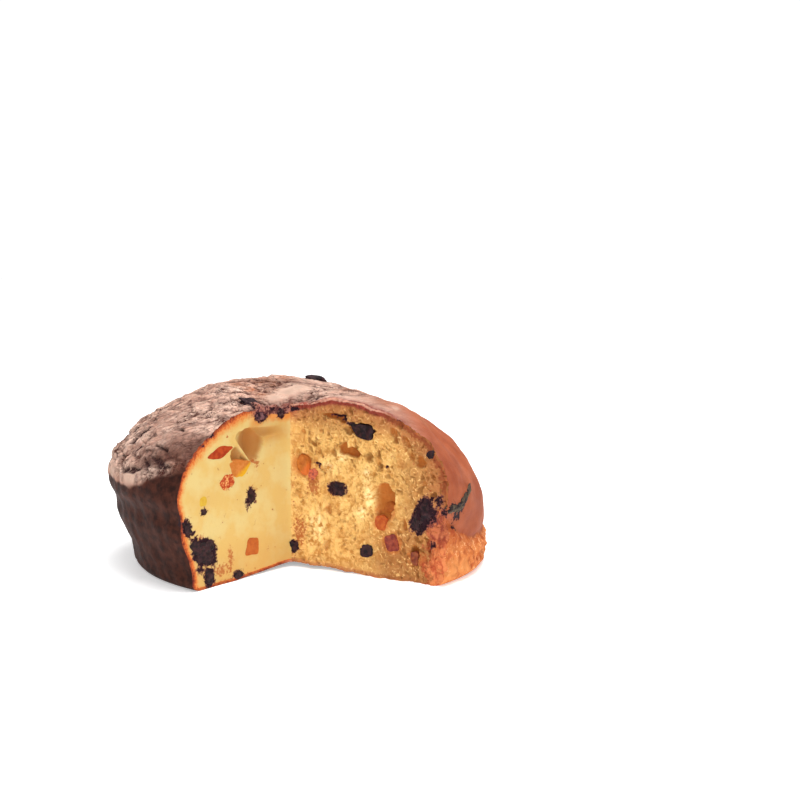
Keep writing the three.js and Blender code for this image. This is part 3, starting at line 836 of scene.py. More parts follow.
    def crest(self, points: Array) -> tuple[Array, Array]:
        """The lumpy crest behind the cut: how much of it there is, and the height of its lumps.

        Args:
            points: places on or near the crust in millimetres.

        Returns:
            1 along the cut's edge, fading out backwards, and the lumps from 0 to 1.
        """
        length, behind = self.behind_cut(points)
        share = bell(np.maximum(behind, 0), 0, self.crest_reach) * rise(points[..., 2], *self.crest_above)
        share = share * rise(length, *self.crest_from) * (1 - rise(length, *self.crest_to)) * (behind > -12)
        lump = np.zeros(share.shape)
        near = np.nonzero(share > 0.01)
        lump[near] = knobs(points[near], self.crest_knob, 66)
        return share, lump

    def smear(self, points: Array) -> Array:
        """How thickly melted chocolate lies on the crust, from 0 to 1."""
        kinds = ((0.9, self.drops), (0.76, self.streak_ground), (0.7, self.smears))
        return np.max([thick * spotted(points, spots) for thick, spots in kinds], axis=0)

    def browned(self, points: Array) -> Array:
        """How dark the left of the dome is, partly its bake and partly painted shade: 1 along its rim and by
        the cut, 0 near the crown.
        """
        wander = 5 * layered_noise(points / 13, 2, 35)
        low = 1 - rise(points[..., 2] + wander, *self.brown_until)
        by_cut = bell(azimuth_of(points), self.brown_azimuth, 0.3)
        share = np.clip(0.14 + 1.1 * by_cut, 0, 1) * (1 - 0.8 * self.ridge(points))
        return low * share * rise(-points[..., 0], *self.brown_left)

    def body(self, points: Array, azimuth: Array) -> Array:
        """How far the loaf under its wrinkles stands in or out from the smooth form."""
        total = self.shape(points, azimuth)
        for x, y, z, reach, out in self.stands:
            total = total + out * spotted(points, ((x, y, z, reach),))
        return total

    def relief(self, points: Array, azimuth: Array) -> Array:
        """How far the crust stands in or out, with all its fine detail.

        Args:
            points: places in millimetres, with x, y and z last.
            azimuth: turns round the loaf's axis in radians.

        Returns:
            The height at each place in millimetres.
        """
        torn, flank = self.torn(points), self.flank(points)
        folded = np.clip(self.pale(points) + 0.12, 0, 1) * (1 - flank) * (1 - torn)
        wrinkle, crack = self.wrinkles(points)
        skin = folded * (self.fold_height * wrinkle - self.crack_depth * crack)
        skin = skin + 0.12 * layered_noise(points / 2.4, 2, 51) - self.gash_depth * self.gash(points)
        skin = skin - self.groove_depth * flank * rise(points[..., 2], *self.groove_above)
        ribs = flank * 0.12 * np.sin(64 * azimuth + 2 * smooth_noise(points / 9, 52))
        share, lump = self.crest(points)
        skin = skin + ribs + torn * self.torn_crumbs(points, torn) + share * (3.4 * lump - 0.8)
        return self.body(points, azimuth) + np.maximum(skin, -self.deepest)

    def torn_crumbs(self, points: Array, torn: Array) -> Array:
        """The lumps of the torn foot in two sizes, with fine noise: worked out only where it is torn."""
        lumps = np.zeros(torn.shape)
        near = np.nonzero(torn > 0.01)
        patch = points[near] * np.array([1, 1, 0.7])
        large, small = self.crumb_sizes
        lumps[near] = 1.5 * knobs(patch, large, 61) + 0.7 * knobs(patch, small, 62) - 0.9
        lumps[near] += 0.5 * layered_noise(patch / 1.7, 2, 63)
        return lumps

    def paints(self, points: Array) -> dict[str, Array]:
        """What the crust's material reads, by name: a number for each place.

        Args:
            points: places in millimetres, with x, y and z last.

        Returns:
            The numbers by name.
        """
        wrinkle, crack = self.wrinkles(points)
        values = {
            "wrinkle": wrinkle,
            "crack": crack,
            "crest_lump": self.crest(points)[1],
            "golden": spotted(points, self.golden),
            "tanned": spotted(points, self.tanned),
            "glazed": spotted(points, self.glazed),
        }
        bakes = (self.pale, self.torn, self.flank, self.smear, self.browned)
        for kind in bakes + (self.gash, self.lip, self.ridge):
            values[kind.__name__] = kind(points)
        return values


@dataclass
class WedgeCut:
    """The sheet along which the wedge left the loaf.

    The sheet is a function of a length along it and a height. Negative lengths are on the knife's face to the
    left and positive ones on the torn face to the right, counted from the upright line where the faces meet.
    """

    line: tuple[float, float] = (-2.7, -18.9)
    knife_turn: float = math.radians(44.6)
    torn_turn: float = math.radians(59.1)
    corner: float = 4.0
    bottom: float = -7.0
    top: float = 106.0
    reach: float = 132.0
    knife_step: float = 0.5
    torn_step: float = 0.37
    height_step: float = 0.4

    def knife_way(self) -> Array:
        """The way along the knife's face, seen from above."""
        return np.array([-math.sin(self.knife_turn), -math.cos(self.knife_turn)])

    def torn_way(self) -> Array:
        """The way along the torn face, seen from above."""
        return np.array([math.sin(self.torn_turn), -math.cos(self.torn_turn)])

    def place(self, length: Array) -> tuple[Array, Array, Array]:
        """Where the sheet passes, seen from above.

        Each face's share of the length is (t + √(t² + c²)) / 2, which is 0 on the other face and rounds the
        corner within about c.

        Args:
            length: lengths along the sheet in millimetres.

        Returns:
            The places, the ways along the sheet and the ways into the loaf, each with x and y last.
        """
        length = np.asarray(length, float)

        def ramp(t: Array) -> Array:
            """A face's share of a length."""
            return (t + np.hypot(t, self.corner)) / 2

        def slope(t: Array) -> Array:
            """How fast that share grows."""
            return (1 + t / np.hypot(t, self.corner)) / 2

        knife, torn = self.knife_way(), self.torn_way()
        place = np.array(self.line) + ramp(-length)[..., None] * knife + ramp(length)[..., None] * torn
        along = slope(length)[..., None] * torn - slope(-length)[..., None] * knife
        along = along / np.linalg.norm(along, axis=-1, keepdims=True)
        inward = np.stack([-along[..., 1], along[..., 0]], axis=-1)
        return place, along, inward

    def length_of(self, points: Array) -> Array:
        """The length along the sheet that a place near the sheet belongs to."""
        from_line = points[..., :2] - np.array(self.line)
        on_torn = from_line @ self.torn_way()
        on_knife = from_line @ self.knife_way()
        return np.where(on_torn > on_knife, on_torn, -on_knife)

    def depth_of(self, points: Array, length: Array) -> Array:
        """How far places lie behind the sheet, given the lengths that they belong to."""
        place, _, inward = self.place(length)
        return ((points[..., :2] - place) * inward).sum(-1)

    def columns(self) -> Array:
        """Lengths of the sheet's columns: close together where the sheet passes through the loaf.

        Returns:
            The lengths in millimetres.
        """
        return np.concatenate(
            [
                np.linspace(-self.reach, -90, 8, endpoint=False),
                np.arange(-90, 0, self.knife_step),
                np.arange(0, 99, self.torn_step),
                np.linspace(99.2, self.reach, 8),
            ]
        )

    def levels(self) -> Array:
        """Heights of the sheet's rows.

        Returns:
            The heights in millimetres.
        """
        return np.concatenate(
            [
                np.linspace(self.bottom, -0.5, 4, endpoint=False),
                np.arange(-0.5, 98, self.height_step),
                np.linspace(98.2, self.top, 5),
            ]
        )


@dataclass(frozen=True)
class AirHole:
    """An open hole in a cut face: where it lies, its size along, up and into the face, and its turn."""

    along: float
    height: float
    size: Size
    turn: float = 0.0
    # How far the hole's right side slopes out, in its own radii, or its left side if it is negative.
    fade: float = 0.0


@dataclass
class CrumbPattern:
    """The pores, holes and torn threads of the crumb in the two cut faces."""

    holes: tuple[AirHole, ...] = (
        AirHole(-29.6, 70.4, (18.4, 18.6, 11), fade=-0.25),
        AirHole(-24.0, 77.0, (27, 5.6, 5), -3, fade=0.5), AirHole(-39.2, 67, (9.6, 8.6, 7)),
        AirHole(8.6, 57.2, (9.4, 12.8, 2.4)), AirHole(57.2, 42.4, (13.4, 18.8, 11), 4, fade=-0.12),
        AirHole(56.6, 34.4, (7.6, 8, 6)), AirHole(37.6, 66.0, (9.4, 5.2, 9), -10),
        AirHole(32.8, 67.8, (5.4, 7.4, 8), -30), AirHole(28, 84.4, (14, 3.4, 7), -6),
        AirHole(32.4, 83.4, (5, 5.6, 9), -30), AirHole(45, 78.4, (16, 8.4, 8), -4),
        AirHole(78.7, 64.8, (6.5, 6.5, 6)), AirHole(74.8, 15.5, (5.4, 9, 7)),
        AirHole(70, 74.5, (4, 8, 5), 32), AirHole(62.5, 79, (4, 6, 5), 24),
        AirHole(24, 34, (4, 6.4, 4), 12), AirHole(83.4, 19.6, (2, 9, 6), 4),
        AirHole(69.6, 30.6, (2.4, 7, 5), 6), AirHole(19.6, 76, (2.6, 2.4, 2.6)),
        AirHole(86, 58, (2.4, 5, 4), 30), AirHole(63.6, 75.4, (2.2, 5.6, 4), 22),
        AirHole(69.5, 71, (2, 3, 3), 20), AirHole(73, 67, (3.6, 5.4, 4), 30),
        AirHole(77.1, 63.4, (2.4, 4.6, 4), 34), AirHole(66.6, 62.6, (5.6, 6, 3), 10),
        AirHole(80.6, 54, (2.6, 4, 3), 16), AirHole(8.6, 74.6, (3.6, 2.6, 3), -10),
        AirHole(24.8, 57.6, (3, 3, 3), -10), AirHole(21.6, 13.5, (3.4, 6.4, 4), -6),
    )
    # Places with a stain of chocolate or dark fruit: length, height, reach along and up.
    stain_places: Spots = (
        (17.2, 58.6, 2.4, 1.0), (18.4, 56.9, 1.0, 1.8), (58.9, 60.4, 0.9, 0.9), (65.8, 86.3, 2.0, 1.5),
        (-57.6, 80.2, 2.4, 1.9), (-62.5, 75.5, 1.4, 1.0), (3, 86.6, 6, 1.6), (-13.2, 88.2, 3.4, 1.4),
        (89.6, 45.4, 3.0, 4.4), (92.5, 40, 2.4, 3.6), (86.2, 37.6, 3.0, 6.5), (-31.8, 40.6, 2.6, 4.4),
        (38.6, 80.8, 3.4, 1.2), (-57.4, 14, 3.2, 4.2), (-70, 27, 3.2, 3.6), (-66.5, 11, 3.0, 3.0),
        (85.5, 21, 1.6, 3), (29, 84.6, 5, 1.3), (33, 83.2, 2.4, 2.2), (38, 81.4, 3, 1.1),
        (-71.2, 31, 2.6, 1.8),
    )
    # Places on the knife's face painted tan as the shade below the large hole's roof.
    tan_places: Spots = ((-14, 75, 13, 5), (-27, 73, 5, 8))
    # A thin wall of crumb left standing across the large hole in the knife's face, from end to end.
    membrane: tuple[tuple[float, float], tuple[float, float]] = ((-41.4, 76.5), (-29.6, 61.6))
    # Places with orange-brown specks: length, height, reach along and up.
    speck_places: Spots = (
        (-45.4, 12, 3.4, 11), (-46.5, 53.8, 6.4, 5.4), (-46, 78, 1.5, 1.5), (-52, 8, 9, 5),
        (-29, 43.6, 5, 7), (-25, 60, 3, 4), (14, 46, 6, 9), (6, 20, 5, 14), (80, 12, 5, 8),
        (-66, 26, 6, 5),
    )
    # Pale places on the torn face: length, height, reach along and up.
    pale_places: Spots = (
        (48.3, 43, 4.0, 9), (46.2, 54.6, 3.4, 5), (16.5, 24, 6, 12), (31.4, 62.8, 4, 3.2), (43, 34, 5, 4),
        (24, 57, 5, 4),
    )
    # Fades along the cut, where the torn face begins at 0, and up it.
    browned_from: Fade = (46, 84)
    browned_above: Fade = (66, 84)
    crumbly_from: Fade = (48, 78)
    crumbly_above: Fade = (56, 76)
    rim_from: Fade = (-8, 2)
    rim_above: Fade = (44, 52)
    top_rim_to: Fade = (52, 66)
    foot_from: Fade = (75, 91)
    foot_below: Fade = (34, 46)
    high_foot_above: Fade = (14, 34)
    high_foot_to: Fade = (100, 112)
    # The lumpy crest on the faces: from where, to where and above which heights.
    crest_from: Fade = (-30, -24)
    crest_to: Fade = (-2, 6)
    crest_above: Fade = (81, 85)
    # The mean size of the torn face's cells. Its small pores and bowls have a grid's cell in millimetres, the
    # share of the grid's cells that hold one, and the radius of the largest as a share of a cell.
    cell: float = 1.8
    small_pores: tuple[float, float, float] = (3.6, 0.36, 0.3)
    bowls: tuple[float, float, float] = (6.2, 0.24, 0.31)

    def lean(self, length: Array, height: Array) -> Array:
        """The turn of the pores from upright: they lie along the crust near the rim on the right."""
        return -0.2 - 0.55 * rise(length, 20, 75) * rise(height, 30, 70)

    def hole_depth(self, length: Array, height: Array) -> Array:
        """The depth of the open holes in millimetres: half an uneven oval's depth times √(1 - q⁴).

        Args:
            length: lengths along the cut in millimetres.
            height: heights in millimetres.

        Returns:
            The depth at each place in millimetres.
        """
        deepest = np.zeros(length.shape)
        spot = on_sheet(length, height)
        fine = 0.05 + 0.13 * rise(length, -2, 6)
        uneven = 1 + 0.12 * smooth_noise(spot / 6, 81) + fine * smooth_noise(spot / 1.8, 80)
        for hole in self.holes:
            a, b = turned_into(length - hole.along, height - hole.height, hole.turn)
            a, b = a / (hole.size[0] / 2) * math.copysign(1, hole.fade), b / (hole.size[1] / 2)
            a = np.where(a > 0, a / (1 + abs(hole.fade)), a)
            bowl = np.sqrt(np.clip(1 - (np.hypot(a, b) * uneven) ** 4, 0, 1))
            sloping = np.clip(1 - np.maximum(a, 0), 0, 1) if hole.fade else 1
            deepest = np.maximum(deepest, hole.size[2] / 2 * bowl * sloping)
        return deepest * rise(self.from_membrane(length, height), 0.2, 1.4)

    def from_membrane(self, length: Array, height: Array) -> Array:
        """The distance along the face from the membrane's straight line."""
        first, last = self.membrane
        way = (last[0] - first[0], last[1] - first[1])
        du, dv = length - first[0], height - first[1]
        share = np.clip((du * way[0] + dv * way[1]) / (way[0] ** 2 + way[1] ** 2), 0, 1)
        return np.hypot(du - share * way[0], dv - share * way[1])

    def specks(self, length: Array, height: Array) -> Array:
        """How thickly orange-brown specks lie: round named places, and along the foot and the corner."""
        most = 0.55 * bell(length, 1.5, 2.5) + 0.8 * (1 - rise(height, 1.5, 4.5)) * (length < 0)
        return np.maximum(most, blotted(length, height, self.speck_places))

    def browning(self, length: Array, height: Array) -> Array:
        """How far the torn face is darkened, partly by the bake near the crust and partly as painted shade:
        along the top, to the right, most at the lower right, and along the bottom.
        """
        right = 0.7 * rise(length, *self.browned_from)
        low_right = 1.15 * bell(length, 74, 26) * bell(height, 10, 24)
        top = 0.62 * rise(height, *self.browned_above) * rise(length, 0, 14)
        lowest = 0.45 * (1 - rise(height, 2, 14))
        return np.max([right, low_right, top, lowest], axis=0)

    def pore_depth(self, length: Array, height: Array) -> Array:
        """The depth of the small pores of the torn face: cells between raised strands, and oval bowls.

        Args:
            length, height: places on the sheet in millimetres.

        Returns:
            The depth in millimetres, which is below 0 on the strands.
        """
        spot = on_sheet(length, height)
        warp_u = length + 1.0 * smooth_noise(spot / 1.6, 82) + 1.5 * smooth_noise(spot / 5, 87)
        warp_v = height + 1.0 * smooth_noise(spot / 1.6, 83) + 1.5 * smooth_noise(spot / 5, 88)
        lean = self.lean(length, height)
        outer = rise(height, *self.crumbly_above) * rise(length, 0, 20)
        outer = np.maximum(rise(length, *self.crumbly_from), outer)
        crowd = np.clip(0.45 + 0.4 * smooth_noise(spot / 9, 84) + 0.5 * outer, 0, 1)
        crowd = crowd * (1 - 0.75 * blotted(length, height, self.pale_places))
        gap, draw = cell_walls(warp_u, warp_v, self.cell, 1.5, lean, 91)
        broken = rise(smooth_noise(spot / 1.5, 92), -0.6, 0.5)
        cells = 1.15 * rise(gap, 0.15, 0.85) * (0.2 + 0.8 * draw) * (0.5 + 0.5 * crowd) * (0.5 + 0.5 * broken)
        strands = (1 - rise(gap, 0.0, 0.36)) * (0.15 + 0.85 * broken)
        pores = oval_pores(warp_u, warp_v, *self.small_pores, 95, lean) * rise(crowd, 0.15, 0.6)
        bowls = oval_pores(warp_u, warp_v, *self.bowls, 99, lean) * rise(crowd, 0.4, 0.8)
        deepest = np.max([cells, 1.5 * pores, 2.3 * bowls], axis=0)
        return rise(length, 0.5, 2.5) * (deepest - 0.3 * strands)

    def face(self, length: Array, height: Array) -> Array:
        """The relief of the faces without pores or holes: the knife's drag marks, and the uneven tear.

        Args:
            length: lengths along the cut in millimetres.
            height: heights in millimetres.

        Returns:
            How far the sheet goes into the loaf, in millimetres.
        """
        spot = on_sheet(length, height)
        torn = rise(length, -2, 10)
        knife = 0.35 * ripple(length / 9, height / 9, 0) + 0.07 * layered_noise(spot / 1.3, 2, 85)
        tear = 0.9 * ripple(length / 4.4, height / 4.9, 2) + 1.2 * ripple(length / 13, height / 11, 5)
        tear = tear + 0.8 * smooth_noise(spot / np.array([2.6, 7, 1]), 89)
        upright = bell(length, 16, 8) * bell(height, 19, 12)
        tear = tear - 0.7 * upright * np.sin(1.5 * length + 3.5 * smooth_noise(spot / 7, 90))
        threads = 0.4 * layered_noise(spot / np.array([2.0, 2.8, 1]), 2, 86)
        crest = rise(height, *self.crest_above) * rise(length, *self.crest_from)
        crest = crest * (1 - rise(length, *self.crest_to))
        return knife * (1 - torn) + (tear + threads) * torn - 1.5 * crest * knobs(spot, 5, 68)

    def relief(self, length: Array, height: Array, bottom: float) -> Array:
        """How far the sheet goes into the loaf, in millimetres, fading out below the loaf."""
        pores = self.pore_depth(length, height)
        holes = self.hole_depth(length, height)
        total = self.face(length, height) + np.maximum(pores, holes) + 0.35 * np.minimum(pores, holes)
        return total * rise(height, bottom, 0.5)

    def paints(self, length: Array, height: Array) -> dict[str, Array]:
        """What the materials read of the faces, by name: a number for each place on them.

        Args:
            length: lengths along the cut in millimetres.
            height: heights in millimetres.

        Returns:
            The numbers by name.
        """
        behind_corner = rise(length, *self.rim_from)
        return {
            "paleness": blotted(length, height, self.pale_places),
            "low": 1 - rise(height, 6, 30),
            "specks": self.specks(length, height),
            "torn_face": rise(length, -0.5, 2.5),
            "pore": self.pore_depth(length, height),
            "tan": blotted(length, height, self.tan_places),
            # Where the knife's face gets painted shade below the large hole's roof.
            "torn_rim": behind_corner * rise(height, *self.rim_above),
            "top_rim": behind_corner * (1 - rise(length, *self.top_rim_to)),
            "foot": rise(length, *self.foot_from) * (1 - rise(height, *self.foot_below)),
            "high_foot": rise(height, *self.high_foot_above) * (1 - rise(length, *self.high_foot_to)),
            "browning": self.browning(length, height),
            # How deep the holes are, for their painted shade.
            "hole": np.clip(self.hole_depth(length, height) / 6, 0, 1),
        }


class Make(Enum):
    """What a lump in the loaf is."""

    CHOCOLATE = "dark_chocolate"
    CANDIED = "candied_fruit"
    LEMON = "pale_candied_fruit"


@dataclass(frozen=True)
class Lump:
    """A lump of chocolate or fruit, and the node that it stands for.

    Its size is along the face, up it and into it. squareness 2 is a ball and 5 is nearly a cube, rough pushes
    its surface in and out by that share, and sunk is how far its middle lies below the face. lean slides its
    top along by that share of its height, and taper widens its top and narrows its bottom by that share.
    """

    node: str
    of: Make
    size: Size
    seed: int
    along: float = 0.0
    height: float = 0.0
    azimuth: float = 0.0
    angle: float | None = None
    share: float | None = None
    turn: float = 0.0
    sunk: float = 0.0
    squareness: float = 2.3
    rough: float = 0.14
    lean: float = 0.0
    taper: float = 0.0
    trimmed: bool = False

    def in_crust(self) -> bool:
        """Whether the lump sits in the crust, and not in a cut face."""
        return self.angle is not None or self.share is not None

    def fringed(self) -> bool:
        """Whether it is rough chocolate, which has melted into the crumb round it."""
        return self.of is Make.CHOCOLATE and self.rough > 0.2


CUT_LUMPS = (
    Lump("fruit_long_strip", Make.CANDIED, (11.5, 6.8, 9), 4, -51, 70.4, turn=-8, sunk=1, squareness=5,
         rough=0.08, lean=1.35, trimmed=True),
    Lump("fruit_in_hollow", Make.LEMON, (13.4, 9, 8), 9, -37.5, 59.6, turn=-4, sunk=1.6, squareness=3.6,
         taper=0.35, trimmed=True),
    Lump("fruit_crumbled", Make.CANDIED, (10, 8, 7), 2, -46.5, 53.8, sunk=1, rough=0.3, trimmed=True),
    Lump("fruit_yellow", Make.LEMON, (5.4, 5.4, 5), 6, -63.4, 46.6, sunk=0.8, squareness=3, trimmed=True),
    Lump("fruit_cube", Make.CANDIED, (9.2, 9.8, 9), 1, -28.9, 16.2, turn=-6, sunk=1.2, squareness=5,
         rough=0.08, taper=-0.12, trimmed=True),
    Lump("chocolate_heart", Make.CHOCOLATE, (5.8, 8.6, 6), 3, -29.4, 43.6, turn=12, sunk=0.8, rough=0.34,
         trimmed=True),
    Lump("chocolate_fleck", Make.CHOCOLATE, (4.2, 3.4, 4), 5, -63.2, 41.2, sunk=0.4, rough=0.3, trimmed=True),
    Lump("chocolate_left_corner", Make.CHOCOLATE, (17, 14, 11), 7, -63.2, 19.8, turn=-28, sunk=1.2,
         rough=0.4),
    Lump("chocolate_left_rim", Make.CHOCOLATE, (5.6, 9.6, 7), 30, -74.8, 34.4, turn=24, sunk=1.4, rough=0.26),
    Lump("chocolate_left_foot", Make.CHOCOLATE, (7.4, 10.6, 8), 35, -60.4, 5.8, turn=8, sunk=1.2, rough=0.24),
    Lump("chocolate_at_foot", Make.CHOCOLATE, (7.4, 4.4, 5), 8, -39.4, 3, sunk=0.8, rough=0.25),
    Lump("chocolate_at_crest", Make.CHOCOLATE, (8.8, 5.8, 7), 23, -22.2, 85.2, turn=-20, sunk=0.8, rough=0.3),
    Lump("chocolate_at_corner_top", Make.CHOCOLATE, (5.2, 5.8, 6), 28, -7.6, 85, turn=-14, sunk=1,
         rough=0.26),
    Lump("chocolate_in_corner", Make.CHOCOLATE, (6.4, 6.8, 6), 10, 2.2, 11.2, sunk=0.8, rough=0.28),
    Lump("chocolate_middle", Make.CHOCOLATE, (10.2, 7.4, 7), 11, 28.8, 45.6, sunk=1.2, rough=0.4),
    Lump("chocolate_under_crust", Make.CHOCOLATE, (13.2, 7.8, 8), 12, 44.8, 77.9, turn=-6, sunk=1.6,
         squareness=5, rough=0.06, lean=-0.35, taper=0.32),
    Lump("chocolate_low", Make.CHOCOLATE, (7.4, 7, 6), 13, 46.2, 13.8, turn=20, sunk=0.8, squareness=2.8),
    Lump("chocolate_melted_right", Make.CHOCOLATE, (10.6, 22, 9), 14, 79.6, 36.4, turn=-22, sunk=1.6,
         rough=0.26),
    Lump("chocolate_at_rim", Make.CHOCOLATE, (5.6, 5, 5), 15, 84.6, 69.2, turn=30, sunk=1.2),
    Lump("fruit_oval", Make.CANDIED, (8.4, 11.8, 8), 16, 8, 56.4, turn=6, sunk=1.8),
    Lump("fruit_red", Make.CANDIED, (4.8, 6.8, 5), 17, 13.8, 52, turn=-20, sunk=0.8, rough=0.25),
    Lump("fruit_below_hole", Make.CANDIED, (10.4, 9.4, 8), 18, 57.8, 37.0, sunk=7.3, squareness=2.3),
    Lump("fruit_small_orange", Make.CANDIED, (7.8, 8.2, 7), 29, 55.4, 30, turn=-8, sunk=1, squareness=2.4),
    Lump("fruit_jelly", Make.CANDIED, (8.4, 10, 8), 19, 61.6, 19.8, turn=10, sunk=1.8, squareness=2.6),
    Lump("fruit_brown", Make.CANDIED, (5.4, 8, 6), 20, 74.8, 12.9, sunk=1.8),
)

CRUST_LUMPS = (
    Lump("chocolate_crown_chip", Make.CHOCOLATE, (12, 6.4, 5), 21, azimuth=66, angle=18.5, turn=22, sunk=-0.4,
         squareness=3),
    Lump("chocolate_crest_front", Make.CHOCOLATE, (12, 6.4, 4.4), 22, azimuth=-132, angle=20.6, turn=8,
         sunk=0.1, rough=0.3),
    Lump("chocolate_back_chip", Make.CHOCOLATE, (8, 6.4, 5), 24, azimuth=118, angle=38, turn=40, sunk=0.5,
         squareness=2.8),
    Lump("chocolate_back_chip_low", Make.CHOCOLATE, (7, 6, 5), 25, azimuth=62, angle=58, turn=-25, sunk=0.5,
         squareness=2.8),
    Lump("chocolate_left_back", Make.CHOCOLATE, (10, 5, 4.6), 26, azimuth=146, angle=56, turn=-30, sunk=0.6,
         rough=0.24),
    Lump("chocolate_right_back", Make.CHOCOLATE, (6.4, 6, 5), 27, azimuth=40, angle=60, turn=10, sunk=0.5,
         squareness=2.8),
)

# The beads of the run of melted chocolate that climbs the right of the crust.
STREAK_BEADS = (
    Lump("chocolate_streak", Make.CHOCOLATE, (11.0, 4.2, 3.4), 31, azimuth=-38.2, share=0.04, sunk=0.7,
         rough=0.3),
    Lump("chocolate_streak", Make.CHOCOLATE, (9.4, 4.8, 3.4), 32, azimuth=-34.4, share=0.01, turn=14,
         sunk=0.7, rough=0.24),
    Lump("chocolate_streak", Make.CHOCOLATE, (8.6, 4.8, 3.2), 33, azimuth=-31.6, angle=87.8, turn=44,
         sunk=0.7, rough=0.24),
    Lump("chocolate_streak", Make.CHOCOLATE, (3.4, 8.8, 3.0), 34, azimuth=-28.4, angle=84.2, turn=-36,
         sunk=0.7, rough=0.3),
)


@dataclass
class LumpMaker:
    """Shapes the lumps and seats them in the cut faces and the crust."""

    form: LoafForm
    crust: CrustPattern
    cut: WedgeCut
    crumb: CrumbPattern
    rows: int = 44
    columns: int = 60
    # How far lumps may stand out of a cut face, and those that the knife has trimmed.
    proud: float = 0.5
    proud_trimmed: float = 0.08

    def ball(self, lump: Lump) -> Solid:
        """An irregular lump round the origin.

        A unit ball's point is divided by the sum of its coordinates' absolute powers, which squares it, and
        is then pushed in and out by slow and fine waves.

        Args:
            lump: what to shape.

        Returns:
            The closed solid, in the lump's own frame.
        """
        polar = math.pi * np.arange(1, self.rows) / self.rows - math.pi / 2
        turn = 2 * math.pi * np.arange(self.columns) / self.columns
        polar, turn = np.meshgrid(polar, turn, indexing="ij")
        unit = np.stack([np.cos(polar) * np.cos(turn), np.cos(polar) * np.sin(turn), np.sin(polar)], axis=-1)
        pole = np.array([0.0, 0.0, 1.0])
        return Solid.of_rings(self.pushed(unit, lump), self.pushed(-pole, lump), self.pushed(pole, lump))

    def pushed(self, unit: Array, lump: Lump) -> Array:
        """A lump's surface over points of the unit ball.

        Args:
            unit: points of the unit ball.
            lump: the lump.

        Returns:
            The places in millimetres, in the lump's own frame.
        """
        norm = (np.abs(unit) ** lump.squareness).sum(-1) ** (1 / lump.squareness)
        x, y, z = unit[..., 0], unit[..., 1], unit[..., 2]
        waves = lump.rough * ripple(2.1 * x + lump.seed, 2.1 * y - lump.seed, 2.1 * z + 2 * lump.seed)
        half = np.array(lump.size) / 2
        grain = layered_noise(unit * half / 1.8 + 3 * lump.seed, 3, lump.seed)
        melted = lump.of is Make.CHOCOLATE
        ragged = (lump.rough if melted else 0.05) * layered_noise(unit * 3.1 + lump.seed, 3, lump.seed + 50)
        base = 0.8 if lump.fringed() and not lump.in_crust() else 0.97
        push = (base + waves + ragged) / norm + (2.6 * lump.rough if melted else 0.12) * grain / half.mean()
        across, up, out = (unit[..., k] * push for k in range(3))
        up_scaled = up * half[1]
        across = across * half[0] * (1 + lump.taper * up) + lump.lean * up_scaled
        return np.stack([across, up_scaled, out * half[2]], axis=-1)

    def in_face(self, lump: Lump) -> tuple[Array, Array]:
        """The turning and the middle of a lump that sits in a cut face."""
        place, along, inward = self.cut.place(np.array(lump.along))
        middle = np.array([*(place + inward * lump.sunk), lump.height])
        axes = np.array([[*along, 0], [0, 0, 1], [*(-inward), 0]]).T
        return axes @ self.spin(lump.turn), middle

    def in_crust(self, lump: Lump) -> tuple[Array, Array]:
        """The turning and the middle of a lump that sits in the crust.

        Args:
            lump: the lump.

        Returns:
            The lump's axes as columns, and its middle in millimetres.
        """
        azimuth = math.radians(lump.azimuth)

        def at(turned: float, step: float) -> Array:
            """The smooth form at an azimuth, some degrees lower than the lump."""
            if lump.share is None:
                return self.form.dome(np.array(turned), np.array(math.radians(lump.angle + step)))
            return self.form.side(np.array(turned), np.array(lump.share + step / 40))

        sideways = at(azimuth + 0.01, 0) - at(azimuth - 0.01, 0)
        sideways /= np.linalg.norm(sideways)
        outward = np.cross(sideways, at(azimuth, -0.5) - at(azimuth, 0.5))
        outward /= np.linalg.norm(outward)
        upward = np.cross(outward, sideways)
        spot = at(azimuth, 0)
        relief = float(self.crust.shape(spot, np.array(azimuth)))
        axes = np.array([sideways, upward, outward]).T
        return axes @ self.spin(lump.turn), spot + outward * (relief - lump.sunk)

    def mark(self, piece: bpy.types.Object, lump: Lump, corners: Array) -> None:
        """Stores how far each corner of a lump lies towards its lower right, from -1 to 1."""
        across = (self.cut.length_of(corners) - lump.along) / lump.size[0]
        paint(piece, "lower_right", across - (corners[:, 2] - lump.height) / lump.size[1])

    @staticmethod
    def spin(turn: float) -> Array:
        """A turn about the third axis, in degrees."""
        return np.array(Matrix.Rotation(math.radians(turn), 3, "Z"))

    def seated(self, lump: Lump) -> Solid:
        """A lump in its place, cut flush with the knife's face if it is a trimmed one."""
        axes, middle = self.in_crust(lump) if lump.in_crust() else self.in_face(lump)
        solid = self.ball(lump)
        solid.corners = solid.corners @ axes.T + middle
        if not lump.in_crust():
            solid.corners = self.flush(solid.corners, self.proud_trimmed if lump.trimmed else self.proud)
        return solid

    def flush(self, corners: Array, proud: float) -> Array:
        """Moves what stands out of a cut face back to a little proud of it.

        Args:
            corners: the lump's corners in millimetres.
            proud: how far it may stand out.

        Returns:
            The moved corners.
        """
        length = self.cut.length_of(corners)
        depth = self.cut.depth_of(corners, length)
        inward = self.cut.place(length)[2]
        rough = 0.6 * proud * layered_noise(corners / 1.6, 2, 77)
        least = self.crumb.face(length, corners[:, 2]) - proud + rough
        moved = corners.copy()
        moved[:, :2] += inward * np.maximum(0, least - depth)[:, None]
        return moved


